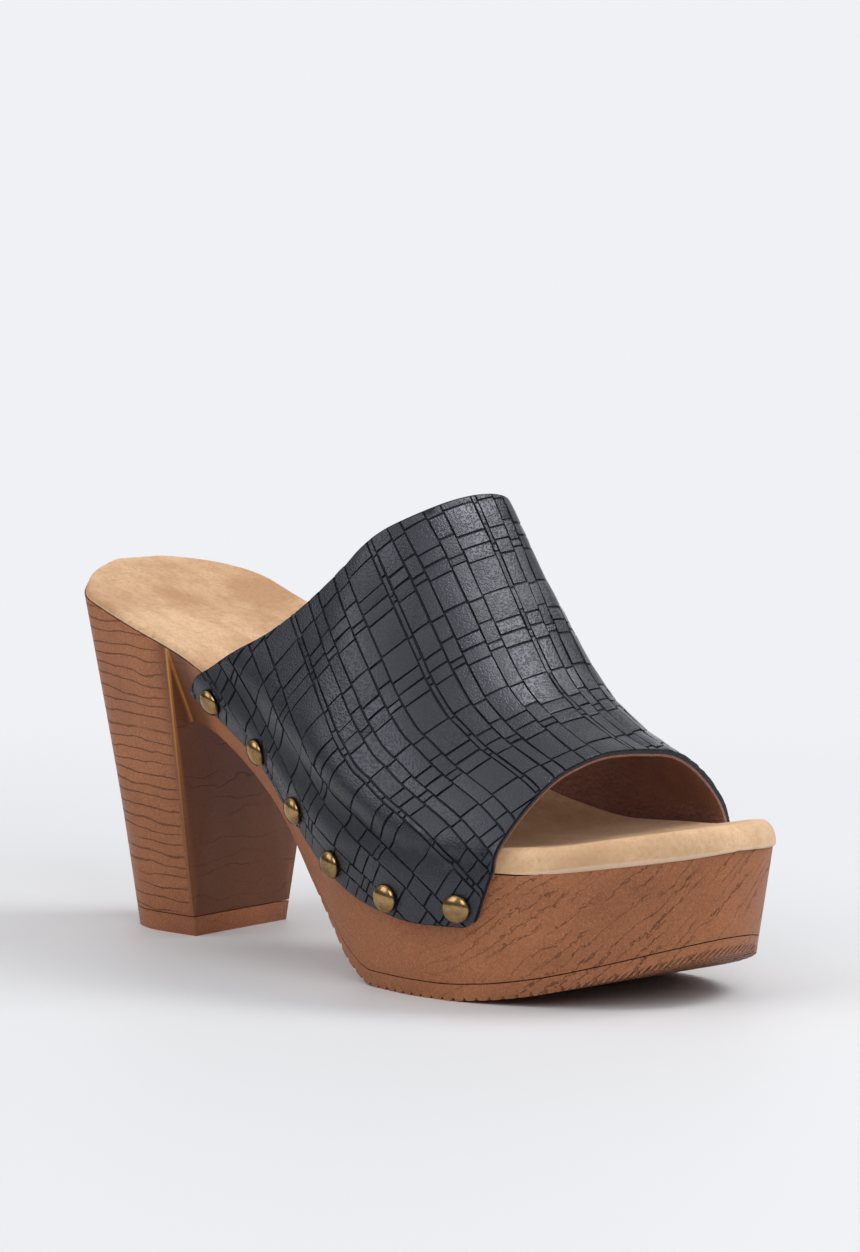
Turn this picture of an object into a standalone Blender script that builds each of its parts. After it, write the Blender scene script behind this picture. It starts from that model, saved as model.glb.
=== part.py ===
"""Heeled open-toe clog for the right foot, built as a maker puts it together.

Units are metres. In the shoe's own axes X runs from the back of the heel to the toe,
+Y is the inner side, -Y the outer side, and Z is up from the floor. At the end the
whole shoe is moved so that the middle of its footprint is the origin.

"Along" is a place between the back of the heel, 0, and the toe, 1. "Side" is -1 for
the outer and +1 for the inner side.
"""

import math

import bmesh
import bpy
import numpy as np
from mathutils import Matrix, Vector

MM = 0.001

# Driving sizes of the last and of the moulded unit
LENGTH = 228 * MM
BALL_WIDTH = 84 * MM
HEEL_HEIGHT = 101 * MM
PLATFORM_HEIGHT = 35 * MM
SHANK_DEPTH = 21.5 * MM
TOE_SPRING = 13 * MM
WALL_LEAN = 7.5 * MM
SEAT_DISH = 2.2 * MM

# Heel block and the top piece under it
BREAST_SHARE = 0.243
BREAST_SLOPE = 5.4 * MM
BREAST_COVE = 3 * MM
HEEL_TURN = math.radians(6.2)
HEEL_TURN_SHARE = 0.123
HEEL_SHIFT = 4 * MM
TIP_LENGTH = 33.5 * MM
TIP_WIDTH = 37.5 * MM
TIP_ROUND_PART = 0.62
TOP_PIECE = 5.5 * MM

# Forefoot outsole and its ribs
OUTSOLE = 4.3 * MM
OUTSOLE_SHARE = 0.50
FEATHER = 1.3 * MM
FEATHER_RUN = 12 * MM
RIB_PITCH = 3.6 * MM
RIB_GROOVE = 1.3 * MM
RIB_DEPTH = 0.9 * MM

# Insole: thin behind, padded in front, and there rolled over the unit's edge
INSOLE_HEEL = 2.2 * MM
INSOLE_TOE = 5.6 * MM
INSOLE_INSET = 0.4 * MM
TOE_OVERHANG = 0.7 * MM
PADDING_SHARES = (0.45, 0.85)
OVERHANG_SHARES = (0.84, 0.92)
DISH_FADE_SHARE = 0.15

# Upper: throat and toe opening, at the crown and where they meet the unit's edge
LEATHER = 2.0 * MM
CREST_RISE = 97.8 * MM
MARGIN = 17 * MM
THROAT_CROWN_SHARE = 0.594
THROAT_BASE_SHARE = 0.322
THROAT_CURVE = 2.6
OPENING_OUTER_SHARE = 0.827
OPENING_INNER_SHARE = 0.857
REAR_SWEEP = 9 * MM
FRONT_SWEEP = 5 * MM
CORNER_ROUND = 3 * MM

# Dome-headed nails
NAIL_HEAD = 7.7 * MM
NAIL_DOME = 2.5 * MM
NAIL_RIM = 0.4 * MM
NAIL_SHANK = 1.5 * MM
NAIL_LENGTH = 4 * MM

# Clearances
GAP = 0.3 * MM
HOLE_CLEARANCE = 0.2 * MM

# How finely the skins are divided
ACROSS = 8
DOWN_WALL = 4
DOWN_HEEL = 3
UNDER = 4
HEEL_RINGS = 15
ARCH_RINGS = 11
FORE_RINGS = 22
UPPER_GIRTH = 25
UPPER_COLUMNS = 22
NAIL_STEPS = 10

# Top edge of the unit in plan, as shares of LENGTH and of BALL_WIDTH
PLAN = (
    # along, outer, inner
    (0.00, 0.000, 0.000),
    (0.02, 0.175, 0.193),
    (0.06, 0.330, 0.316),
    (0.12, 0.446, 0.375),
    (0.20, 0.450, 0.372),
    (0.30, 0.422, 0.345),
    (0.40, 0.424, 0.330),
    (0.50, 0.465, 0.356),
    (0.60, 0.512, 0.420),
    (0.68, 0.520, 0.480),
    (0.76, 0.486, 0.521),
    (0.84, 0.400, 0.530),
    (0.91, 0.275, 0.498),
    (0.96, 0.121, 0.440),
    (0.99, -0.035, 0.320),
    (1.00, -0.163, 0.163),
)

# Height of that edge above PLATFORM_HEIGHT, as a share of what the heel adds to it
PITCH = (
    # along, rise
    (0.00, 1.000),
    (0.08, 0.935),
    (0.16, 0.845),
    (0.24, 0.755),
    (0.34, 0.610),
    (0.44, 0.425),
    (0.54, 0.228),
    (0.64, 0.090),
    (0.74, 0.022),
    (0.84, 0.000),
    (0.93, 0.045),
    (1.00, 0.082),
)

# Underside in front of the heel, as shares of the arch's height and of TOE_SPRING
UNDERSIDE = (
    # along, arch, spring
    (0.24, 1.000, 0.00),
    (0.28, 0.970, 0.00),
    (0.33, 0.895, 0.00),
    (0.38, 0.790, 0.00),
    (0.42, 0.670, 0.00),
    (0.46, 0.525, 0.00),
    (0.50, 0.370, 0.00),
    (0.54, 0.215, 0.00),
    (0.58, 0.080, 0.00),
    (0.63, 0.000, 0.00),
    (0.74, 0.000, 0.00),
    (0.80, 0.000, 0.07),
    (0.86, 0.000, 0.24),
    (0.93, 0.000, 0.57),
    (1.00, 0.000, 1.00),
)

# How far the side wall leans in at its foot, as a share of WALL_LEAN
LEAN = (
    # along, lean
    (0.24, 1.45),
    (0.30, 1.25),
    (0.38, 1.05),
    (0.48, 1.00),
    (0.58, 1.00),
    (0.75, 0.80),
    (1.00, 0.53),
)

# Upper in section: crown above the unit's edge as a share of CREST_RISE, its middle as
# a share of BALL_WIDTH, how square its two shoulders are, and how pinched its flanks
CROWN = (
    # along, rise, middle, outer_square, inner_square, pinch
    (0.28, 0.935, 0.230, 2.08, 2.67, 0.30),
    (0.42, 0.935, 0.200, 2.06, 2.69, 0.25),
    (0.53, 1.000, 0.165, 2.04, 2.71, 0.20),
    (0.60, 0.835, 0.143, 2.03, 2.72, 0.17),
    (0.65, 0.675, 0.132, 2.02, 2.73, 0.15),
    (0.75, 0.400, 0.112, 2.00, 2.75, 0.11),
    (0.88, 0.255, 0.100, 1.98, 2.76, 0.08),
)

# Depth of the nailed margin below the unit's edge, as a share of MARGIN
MARGIN_DEPTH = (
    # along, depth
    (0.28, 0.610),
    (0.38, 0.590),
    (0.43, 0.650),
    (0.50, 0.800),
    (0.57, 0.930),
    (0.64, 1.000),
    (0.72, 0.970),
    (0.78, 0.890),
    (0.83, 0.820),
)

# Nails of one side: along, and how far down the margin, as a share of its depth there
NAILS = (
    # along, down
    (0.341, 0.50),
    (0.431, 0.53),
    (0.514, 0.60),
    (0.592, 0.75),
    (0.690, 0.71),
    (0.787, 0.65),
)


def smooth(table, column, at):
    """The table's column at a place, on a monotone cubic through its rows."""
    x = [row[0] for row in table]
    y = [row[column] for row in table]
    at = min(max(at, x[0]), x[-1])
    steps = [(y1 - y0) / (x1 - x0) for x0, x1, y0, y1 in zip(x, x[1:], y, y[1:])]
    slopes = [steps[0]]
    for before, after in zip(steps, steps[1:]):
        same_way = before * after > 0
        slopes.append(2 / (1 / before + 1 / after) if same_way else 0.0)
    slopes.append(steps[-1])
    i = min(max(int(np.searchsorted(x, at)) - 1, 0), len(steps) - 1)
    run = x[i + 1] - x[i]
    t = (at - x[i]) / run
    start = y[i] * (1 + 2 * t) * (1 - t) ** 2 + slopes[i] * run * t * (1 - t) ** 2
    end = y[i + 1] * t * t * (3 - 2 * t) + slopes[i + 1] * run * t * t * (t - 1)
    return start + end


def clamp(value, low=0.0, high=1.0):
    return min(max(value, low), high)


def ease(value, span):
    """0 before the span and 1 after it, with a soft step between."""
    t = clamp((value - span[0]) / (span[1] - span[0]))
    return t * t * (3 - 2 * t)


def spread(count, low=-1.0, high=1.0):
    return [low + (high - low) * i / (count - 1) for i in range(count)]


def rounding(along):
    """Angle that makes the plan's table smooth round the heel and the toe."""
    return math.acos(1 - 2 * clamp(along))


def stations(first, last, count):
    """Places along, closer together where the outline turns round heel and toe."""
    return [(1 - math.cos(a)) / 2 for a in spread(count, rounding(first), rounding(last))]


PLAN_BY_ANGLE = [(rounding(along), outer, inner) for along, outer, inner in PLAN]


def edge_z(along):
    rise = smooth(PITCH, 1, along)
    return PLATFORM_HEIGHT + rise * (HEEL_HEIGHT - PLATFORM_HEIGHT)


def edge_point(along, side):
    """Top edge of the unit."""
    column = 1 if side < 0 else 2
    half = smooth(PLAN_BY_ANGLE, column, rounding(along)) * BALL_WIDTH
    return Vector((along * LENGTH, side * half, edge_z(along)))


def inward(along, side):
    """Level unit vector, square to the edge and pointing into the shoe."""
    if along <= 0 or along >= 1:
        return Vector((1 if along <= 0 else -1, 0, 0))
    turn = rounding(along)
    step = 0.04
    before = edge_point((1 - math.cos(max(turn - step, 0))) / 2, side)
    after = edge_point((1 - math.cos(min(turn + step, math.pi))) / 2, side)
    run = (after - before).to_2d().normalized()
    return Vector((run.y, -run.x, 0)) * side


def skewed(along, side):
    """Sections turn with the heel block near its breast, and lie square elsewhere."""
    near = clamp(1 - abs(along - BREAST_SHARE) / BREAST_SHARE)
    half = (edge_point(BREAST_SHARE, 1) - edge_point(BREAST_SHARE, -1)).y / 2
    shift = math.tan(HEEL_TURN) * half / LENGTH
    return along - side * shift * ease(near, (0, 1))


def under_z(along):
    """Floor side of the unit in front of the heel, outsole included."""
    arch_height = edge_z(BREAST_SHARE) - SHANK_DEPTH
    arch = smooth(UNDERSIDE, 1, along) * arch_height
    spring = smooth(UNDERSIDE, 2, along) * TOE_SPRING
    into_cove = clamp(1 - (along - BREAST_SHARE) * LENGTH / BREAST_COVE)
    cove = BREAST_COVE * (1 - math.sqrt(1 - into_cove * into_cove))
    return arch + spring - cove


def wall_lean(along):
    return smooth(LEAN, 1, along) * WALL_LEAN


def wall_point(along, side, down):
    """Side wall in front of the heel: down is 0 at the edge and 1 at the floor side."""
    top = edge_point(along, side)
    foot = top + inward(along, side) * wall_lean(along)
    foot.z = under_z(along)
    return top.lerp(foot, down)


def tip_edge(share, side):
    """D-shaped outline of the heel's tip on the floor, from its back to the breast."""
    bulge = 1.0
    if share < TIP_ROUND_PART:
        bulge = math.sqrt(1 - (1 - share / TIP_ROUND_PART) ** 2)
    pivot = HEEL_TURN_SHARE * LENGTH
    front = BREAST_SHARE * LENGTH - BREAST_SLOPE
    local = Vector((front - TIP_LENGTH * (1 - share) - pivot, side * bulge * TIP_WIDTH / 2))
    spot = Matrix.Rotation(HEEL_TURN, 2) @ local
    return Vector((pivot + spot.x, spot.y - HEEL_SHIFT, 0))


def heel_wall(along, side, z):
    """The heel block's wall at height z, straight from the edge to the tip."""
    top = edge_point(skewed(along, side), side)
    foot = tip_edge(along / BREAST_SHARE, side)
    return top.lerp(foot, (top.z - z) / top.z)


def dished(outer, inner, across):
    """A point of the seat between two edge points, sunk towards the middle."""
    spot = outer.lerp(inner, (across + 1) / 2)
    along = clamp(spot.x / LENGTH)
    sag = SEAT_DISH * ease(min(along, 1 - along), (0, DISH_FADE_SHARE))
    spot.z = edge_z(along) - sag * (1 - across * across)
    return spot


def outsole_thickness(along):
    """Full depth under the ball and toe, feathered at the arch."""
    return FEATHER + (OUTSOLE - FEATHER) * clamp((along - OUTSOLE_SHARE) * LENGTH / FEATHER_RUN)


def new_object(name, mesh, material):
    obj = bpy.data.objects.new(name, mesh)
    mesh.materials.append(material)
    parts.objects.link(obj)
    return obj


def loft(name, rings, material, back_cap=False, front_cap=False):
    """Closed skin over rings of equal count; one that shrinks to a line needs no cap."""
    merge_within = 0.02 * MM
    shape = bmesh.new()
    rows = [[shape.verts.new(point) for point in ring] for ring in rings]
    for near, far in zip(rows, rows[1:]):
        for i, vert in enumerate(near):
            j = (i + 1) % len(near)
            shape.faces.new((vert, near[j], far[j], far[i]))
    if back_cap:
        shape.faces.new(reversed(rows[0]))
    if front_cap:
        shape.faces.new(rows[-1])
    bmesh.ops.remove_doubles(shape, verts=shape.verts, dist=merge_within)
    bmesh.ops.dissolve_degenerate(shape, edges=shape.edges, dist=merge_within / 2)
    bmesh.ops.triangulate(shape, faces=[f for f in shape.faces if len(f.verts) > 4])
    bmesh.ops.recalc_face_normals(shape, faces=shape.faces)
    mesh = bpy.data.meshes.new(name)
    shape.to_mesh(mesh)
    shape.free()
    mesh.shade_smooth()
    mesh.set_sharp_from_angle(angle=math.radians(35))
    return new_object(name, mesh, material)


def seat_row(along):
    """Top of the unit from its outer to its inner edge."""
    ends = [edge_point(skewed(along, side), side) for side in (-1, 1)]
    return [dished(*ends, across) for across in spread(ACROSS + 1)]


def closed_section(top, walls):
    """Top row, inner wall down, straight across underneath, and the outer wall up."""
    under = [walls[1][-1].lerp(walls[-1][-1], t) for t in spread(UNDER + 1, 0, 1)[1:-1]]
    return top + walls[1] + under + walls[-1][::-1]


def heel_section(along):
    """Section through the heel block, down to its top piece."""
    shank_z = under_z(BREAST_SHARE + BREAST_COVE / LENGTH)
    walls = {}
    for side in (-1, 1):
        heights = spread(DOWN_WALL + 1, edge_point(skewed(along, side), side).z, shank_z)
        heights += spread(DOWN_HEEL + 1, shank_z, TOP_PIECE + GAP)[1:]
        walls[side] = [heel_wall(along, side, z) for z in heights[1:]]
    return closed_section(seat_row(along), walls)


def shank_section(along):
    """Section in front of the heel, down to the arch or to the outsole's seat."""
    walls = {}
    for side in (-1, 1):
        at = skewed(along, side)
        floor = 1.0
        if along >= OUTSOLE_SHARE:
            floor -= (outsole_thickness(at) + GAP) / (edge_z(at) - under_z(at))
        walls[side] = [wall_point(at, side, t) for t in spread(DOWN_WALL + 1, 0, floor)[1:]]
    feet = {side: walls[side][-1] for side in walls}
    for side in walls:
        steps = spread(DOWN_HEEL + 1, 0, 0.27)[1:]
        walls[side] += [feet[side].lerp(feet[-side], t) for t in steps]
    return closed_section(seat_row(along), walls)


def shank_stations():
    """Places in front of the heel: its cove, the arch, then ball and toe."""
    cove = [BREAST_SHARE + t * BREAST_COVE / LENGTH for t in (0, 0.15, 0.45)]
    just_behind = OUTSOLE_SHARE - 0.1 * MM / LENGTH
    arch = stations(BREAST_SHARE + BREAST_COVE / LENGTH, just_behind, ARCH_RINGS)
    fore = stations(OUTSOLE_SHARE + FEATHER_RUN / LENGTH, 1, FORE_RINGS)
    return cove + arch + [OUTSOLE_SHARE] + fore


def build_unit(material):
    """Platform, shank and heel block, moulded in one piece."""
    heel = [heel_section(s) for s in stations(0, BREAST_SHARE, HEEL_RINGS)]
    fore = [shank_section(s) for s in shank_stations()]
    return loft("sole_unit", heel + fore, material)


def build_top_piece(material):
    """Hard-wearing plate under the heel, on the same taper as the block."""
    rings = []
    for along in stations(0, BREAST_SHARE, HEEL_RINGS):
        upper_row = [heel_wall(along, side, TOP_PIECE) for side in (-1, 1)]
        floor_row = [heel_wall(along, side, 0) for side in (1, -1)]
        ring = [upper_row[0].lerp(upper_row[1], t) for t in (0, 0.5, 1)]
        rings.append(ring + [floor_row[0].lerp(floor_row[1], t) for t in (0, 0.5, 1)])
    return loft("heel_top_piece", rings, material, front_cap=True)


def rib_stations():
    """Places where the tread steps between rib and groove, and the groove's depth."""
    pitch = RIB_PITCH / LENGTH
    groove = RIB_GROOVE / LENGTH
    marks = []
    for i in range(int((1 - OUTSOLE_SHARE) / pitch)):
        start = OUTSOLE_SHARE + i * pitch
        marks += [(start, 0.0), (start + pitch - groove, 0.0)]
        marks.append((start + pitch - groove / 2, RIB_DEPTH))
    return marks + [(s, 0.0) for s in stations(marks[-1][0], 1, 5)[1:]]


def build_outsole(material):
    """Tread under ball and toe, with cross ribs that notch its edge."""
    rings = []
    for along, groove in rib_stations():
        thick = outsole_thickness(along)
        seat = 1 - thick / (edge_z(along) - under_z(along))
        cut = min(groove, thick / 2)
        upper_row = [wall_point(along, side, seat) for side in (-1, 1)]
        floor_row = [wall_point(along, side, 1) + Vector((0, 0, cut)) for side in (1, -1)]
        ring = [upper_row[0].lerp(upper_row[1], t) for t in (0, 0.35, 0.65, 1)]
        rings.append(ring + [floor_row[0].lerp(floor_row[1], t) for t in (0, 0.35, 0.65, 1)])
    return loft("outsole", rings, material, back_cap=True)


def insole_section(along):
    """Section of the insole: flat below, rolled over at both edges, dished on top."""
    reach = (TOE_OVERHANG + INSOLE_INSET) * ease(along, OVERHANG_SHARES) - INSOLE_INSET
    ends = []
    for side in (-1, 1):
        at = skewed(along, side)
        ends.append(edge_point(at, side) - inward(at, side) * reach)
    thick = INSOLE_HEEL + (INSOLE_TOE - INSOLE_HEEL) * ease(along, PADDING_SHARES)
    width = (ends[1] - ends[0]).length
    roll = min(thick / width, 0.45) if width > GAP else 0.0
    from_end = clamp(min(along, 1 - along) * LENGTH / thick)
    thick *= math.sqrt(from_end * (2 - from_end))
    edge = []
    for degrees in (20, 45, 70, 90):
        turn = math.radians(degrees)
        edge.append((1 - 2 * roll * (1 - math.cos(turn)), math.sin(turn)))
    flat = spread(6, edge[-1][0], -edge[-1][0])[1:-1]
    skin = [(across, 0.0) for across in spread(ACROSS + 1)] + edge
    skin += [(across, 1.0) for across in flat]
    skin += [(-across, lift) for across, lift in reversed(edge)]
    return [dished(*ends, across) + Vector((0, 0, GAP + thick * lift)) for across, lift in skin]


def build_insole(material):
    """Padded, covered insole; at the toe its cover rolls over the unit's edge."""
    places = stations(0, BREAST_SHARE, HEEL_RINGS)[:-1] + shank_stations()
    return loft("insole", [insole_section(s) for s in places], material)


def stand_off(along):
    """Level distance from the unit's leaning wall to the upper's outer skin."""
    slope = wall_lean(along) / (edge_z(along) - under_z(along))
    return (GAP + LEATHER) * math.sqrt(1 + slope * slope)


def upper_point(along, girth):
    """Outer skin of the upper. Girth is -1 at the outer edge line, +1 at the inner."""
    side = -1 if girth < 0 else 1
    turn = abs(girth) * math.pi / 2
    square = smooth(CROWN, 3 if side < 0 else 4, along)
    out = math.sin(turn) ** (2 / square)
    out *= 1 - smooth(CROWN, 5, along) * math.sin(2 * turn) ** 2
    up = max(math.cos(turn), 0.0) ** (2 / square)
    middle = Vector((along * LENGTH, smooth(CROWN, 2, along) * BALL_WIDTH, 0))
    base = edge_point(along, side) - inward(along, side) * stand_off(along)
    spot = middle.lerp(base, out)
    spot.z = edge_z(along) + smooth(CROWN, 1, along) * CREST_RISE * up
    return spot


def margin_depth(along):
    return smooth(MARGIN_DEPTH, 1, along) * MARGIN


def margin_point(along, side, depth):
    """Outer skin of the nailed margin, at a depth below the unit's edge."""
    down = depth / (edge_z(along) - under_z(along))
    return wall_point(along, side, down) - inward(along, side) * stand_off(along)


def corner_cut(down):
    """How far the margin's rounded corner draws its end back, near the lower edge."""
    t = clamp(1 - (1 - down) * MARGIN / CORNER_ROUND)
    return CORNER_ROUND * (1 - math.sqrt(1 - t * t))


def upper_row(girth, down):
    """One line of the upper's skin, from its back edge to its toe opening."""
    side = -1 if girth < 0 else 1
    reach = THROAT_BASE_SHARE - THROAT_CROWN_SHARE
    back = THROAT_CROWN_SHARE + reach * abs(girth) ** THROAT_CURVE
    front = OPENING_OUTER_SHARE + (OPENING_INNER_SHARE - OPENING_OUTER_SHARE) * (girth + 1) / 2
    back += (corner_cut(down) - REAR_SWEEP * down) / LENGTH
    front -= (corner_cut(down) + FRONT_SWEEP * down) / LENGTH
    row = []
    for along in spread(UPPER_COLUMNS, back, front):
        if down > 0:
            row.append(margin_point(along, side, margin_depth(along) * down))
        else:
            row.append(upper_point(along, girth))
    return row


def build_upper(material):
    """One hide over the instep, open at toe and heel, its margins lapped over the unit."""
    downs = (1.0, 0.955, 0.88, 0.62, 0.3)
    rows = [upper_row(-1, down) for down in downs]
    rows += [upper_row(girth, 0) for girth in spread(UPPER_GIRTH)]
    rows += [upper_row(1, down) for down in reversed(downs)]
    shape = bmesh.new()
    grid = [[shape.verts.new(point) for point in row] for row in rows]
    for near, far in zip(grid, grid[1:]):
        for i in range(UPPER_COLUMNS - 1):
            shape.faces.new((near[i], near[i + 1], far[i + 1], far[i]))
    mesh = bpy.data.meshes.new("upper")
    shape.to_mesh(mesh)
    shape.free()
    mesh.shade_smooth()
    upper = new_object("upper", mesh, material)
    wall = upper.modifiers.new("wall", "SOLIDIFY")
    wall.thickness = LEATHER
    wall.offset = -1
    wall.use_even_offset = False
    return upper


def nail_frames(side):
    """Each nail's seat on the margin, as a matrix whose Z points out along the nail."""
    step = 1 * MM
    frames = []
    for along, down in NAILS:
        depth = margin_depth(along) * down
        shift = step / LENGTH
        ahead = margin_point(along + shift, side, depth) - margin_point(along - shift, side, depth)
        below = margin_point(along, side, depth + step) - margin_point(along, side, depth - step)
        out = ahead.cross(below).normalized()
        if out.y * side < 0:
            out.negate()
        ahead.normalize()
        frame = Matrix((ahead, out.cross(ahead), out)).transposed().to_4x4()
        frame.translation = margin_point(along, side, depth)
        frames.append(frame)
    return frames


def nail_profile(material):
    """Half section of a nail: low dome, flat seat under it, and a pointed shank."""
    radius = NAIL_HEAD / 2
    profile = []
    for degrees in (90, 60, 30, 0):
        turn = math.radians(degrees)
        crown = (NAIL_DOME - NAIL_RIM) * math.sin(turn)
        profile.append((radius * math.cos(turn), GAP + NAIL_RIM + crown))
    tip = -LEATHER - NAIL_LENGTH
    profile += [(radius, GAP), (NAIL_SHANK / 2, GAP)]
    profile += [(NAIL_SHANK / 2, tip + NAIL_SHANK), (0.0, tip)]
    mesh = bpy.data.meshes.new("nail")
    corners = [(r, 0.0, z) for r, z in profile]
    mesh.from_pydata(corners, [(i, i + 1) for i in range(len(corners) - 1)], [])
    mesh.materials.append(material)
    return mesh


def hole_cutter(frames):
    """All the nail holes as one cutter."""
    above = 1 * MM
    length = LEATHER + NAIL_LENGTH + GAP + above
    radius = NAIL_SHANK / 2 + HOLE_CLEARANCE
    shape = bmesh.new()
    for frame in frames:
        bmesh.ops.create_cone(
            shape, cap_ends=True, segments=NAIL_STEPS, radius1=radius, radius2=radius,
            depth=length, matrix=frame @ Matrix.Translation((0, 0, above - length / 2)),
        )
    mesh = bpy.data.meshes.new("nail_holes")
    shape.to_mesh(mesh)
    shape.free()
    cutter = bpy.data.objects.new("nail_holes", mesh)
    cutter.hide_render = True
    cutter.display_type = "WIRE"
    cutters.objects.link(cutter)
    return cutter


def build_nails(material, pierced):
    """Nails through the margin into the unit, and the holes they sit in."""
    mesh = nail_profile(material)
    frames = {"outer": nail_frames(-1), "inner": nail_frames(1)}
    for name, row in frames.items():
        for i, frame in enumerate(row, 1):
            nail = bpy.data.objects.new(f"nail_{name}_{i}", mesh)
            nail.matrix_world = frame
            parts.objects.link(nail)
            turned = nail.modifiers.new("turned", "SCREW")
            turned.steps = turned.render_steps = NAIL_STEPS
            turned.use_merge_vertices = True
            turned.merge_threshold = 0.01 * MM
    cutter = hole_cutter(frames["outer"] + frames["inner"])
    for piece in pierced:
        hole = piece.modifiers.new("nail_holes", "BOOLEAN")
        hole.operation = "DIFFERENCE"
        hole.object = cutter
        hole.solver = "EXACT"


def centre_on_footprint():
    """Hangs all on one empty, moved so that the footprint's middle is the origin."""
    bpy.context.view_layer.update()
    graph = bpy.context.evaluated_depsgraph_get()
    corners = []
    for obj in parts.objects:
        ready = obj.evaluated_get(graph)
        corners += [ready.matrix_world @ Vector(corner) for corner in ready.bound_box]
    low = Vector(min(corner[i] for corner in corners) for i in range(3))
    high = Vector(max(corner[i] for corner in corners) for i in range(3))
    shoe = bpy.data.objects.new("shoe_origin", None)
    for obj in [*parts.objects, *cutters.objects]:
        obj.parent = shoe
    parts.objects.link(shoe)
    shoe.location = (-(low.x + high.x) / 2, -(low.y + high.y) / 2, -low.z)


def finish_of(name, colour, roughness, metallic=0.0):
    material = bpy.data.materials.new(name)
    material.use_nodes = True
    shader = material.node_tree.nodes["Principled BSDF"]
    shader.inputs["Base Color"].default_value = (*colour, 1)
    shader.inputs["Roughness"].default_value = roughness
    shader.inputs["Metallic"].default_value = metallic
    return material


for old in list(bpy.data.objects):
    bpy.data.objects.remove(old)
parts = bpy.data.collections.new("heeled_clog")
cutters = bpy.data.collections.new("cutters")
bpy.context.scene.collection.children.link(parts)
bpy.context.scene.collection.children.link(cutters)

wood_tone = finish_of("wood_effect_moulding", (0.32, 0.14, 0.07), 0.5)
tread = finish_of("tread", (0.26, 0.12, 0.06), 0.6)
sueded = finish_of("sueded_tan", (0.62, 0.38, 0.2), 0.8)
hide = finish_of("black_hide", (0.02, 0.02, 0.024), 0.4)
brass = finish_of("aged_brass", (0.4, 0.27, 0.1), 0.3, metallic=1.0)

unit = build_unit(wood_tone)
build_top_piece(tread)
build_outsole(tread)
build_insole(sueded)
upper = build_upper(hide)
build_nails(brass, (unit, upper))
centre_on_footprint()
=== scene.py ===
"""Heeled open-toe clog for the right foot: its finished look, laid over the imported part.

Units are metres, in the part's frame: X runs from heel to toe, +Y is the inner side,
Z is up from the floor, and the origin is the middle of the footprint. The pieces follow
in the order in which a shoe like this is put together. "Along" is a place between the
back of the heel, 0, and the toe, 1. "Side" is -1 for the outer and +1 for the inner side.
"""

import math

import bmesh
import bpy
import numpy as np
from mathutils import Matrix, Vector
from mathutils.bvhtree import BVHTree


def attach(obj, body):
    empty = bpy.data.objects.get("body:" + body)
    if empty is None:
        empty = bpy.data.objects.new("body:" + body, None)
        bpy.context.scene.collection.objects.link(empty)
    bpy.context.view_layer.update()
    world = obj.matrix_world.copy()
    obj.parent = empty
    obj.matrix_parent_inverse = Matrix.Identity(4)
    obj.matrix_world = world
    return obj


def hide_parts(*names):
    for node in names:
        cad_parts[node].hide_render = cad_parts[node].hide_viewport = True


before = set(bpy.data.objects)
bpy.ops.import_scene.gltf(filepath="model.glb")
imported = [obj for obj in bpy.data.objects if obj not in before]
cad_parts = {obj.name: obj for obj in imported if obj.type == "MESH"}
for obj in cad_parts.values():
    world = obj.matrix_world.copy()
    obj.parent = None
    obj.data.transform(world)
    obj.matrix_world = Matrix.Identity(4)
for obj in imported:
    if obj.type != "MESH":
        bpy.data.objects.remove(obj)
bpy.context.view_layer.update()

# Photographer's table
# A pale matt table that fades into a bright paper wall behind the shoe. Of its four soft
# boxes one hangs overhead, and the others stand to the inner side, to the outer side and
# before the toe.
MM = 0.001
TABLE_SIDE = 8.0
TABLE_FADES_FROM = 60 * MM
TABLE_FADES_TO = 560 * MM
TABLE_COLOUR = (228, 229, 231)
WALL_COLOUR = (240, 241, 244)
CAMERA_TURN = math.radians(47.0)
CAMERA_RISE = math.radians(5.8)
CAMERA_DISTANCE = 1.2
CAMERA_LENS = 125.13
CAMERA_FILM = 36
LOOKED_AT = Vector((-4.35, 15.29, 89.7)) * MM


def tint(red, green, blue):
    """A colour as painters' software names it, from 0 to 255, made linear."""
    shares = [value / 255 for value in (red, green, blue)]
    linear = [s / 12.92 if s < 0.04045 else ((s + 0.055) / 1.055) ** 2.4 for s in shares]
    return (*linear, 1.0)


def add(tree, kind, inputs=None, **settings):
    """A node with its settings made, and each input either wired or set."""
    made = tree.nodes.new(kind)
    for name, value in settings.items():
        setattr(made, name, value)
    for name, value in (inputs or {}).items():
        if isinstance(value, bpy.types.NodeSocket):
            tree.links.new(value, made.inputs[name])
        else:
            made.inputs[name].default_value = value
    return made


def between(value, low, high, to_low=0.0, to_high=1.0, soft=False):
    """The value moved from one range to another, and held inside it."""
    made = add(value.id_data, "ShaderNodeMapRange", {
        "Value": value, "From Min": low, "From Max": high,
        "To Min": to_low, "To Max": to_high,
    })
    made.interpolation_type = "SMOOTHSTEP" if soft else "LINEAR"
    return made.outputs["Result"]


def sum_of(kind, first, second=0.0, third=0.0):
    """One step of arithmetic on numbers and sockets, in the tree that the sockets are in."""
    values = (first, second, third)
    tree = next(v.id_data for v in values if isinstance(v, bpy.types.NodeSocket))
    return add(tree, "ShaderNodeMath", dict(enumerate(values)), operation=kind).outputs[0]


def times(first, second):
    return sum_of("MULTIPLY", first, second)


def plus(first, second):
    return sum_of("ADD", first, second)


def minus(first, second):
    return sum_of("SUBTRACT", first, second)


def divided(first, second):
    return sum_of("DIVIDE", first, second)


def larger(first, second):
    return sum_of("MAXIMUM", first, second)


def times_plus(first, second, third):
    return sum_of("MULTIPLY_ADD", first, second, third)


def blend_of(share, first, second):
    """Two colours mixed by a share."""
    return add(share.id_data, "ShaderNodeMix", {0: share, 6: first, 7: second},
               data_type="RGBA").outputs[2]


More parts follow.
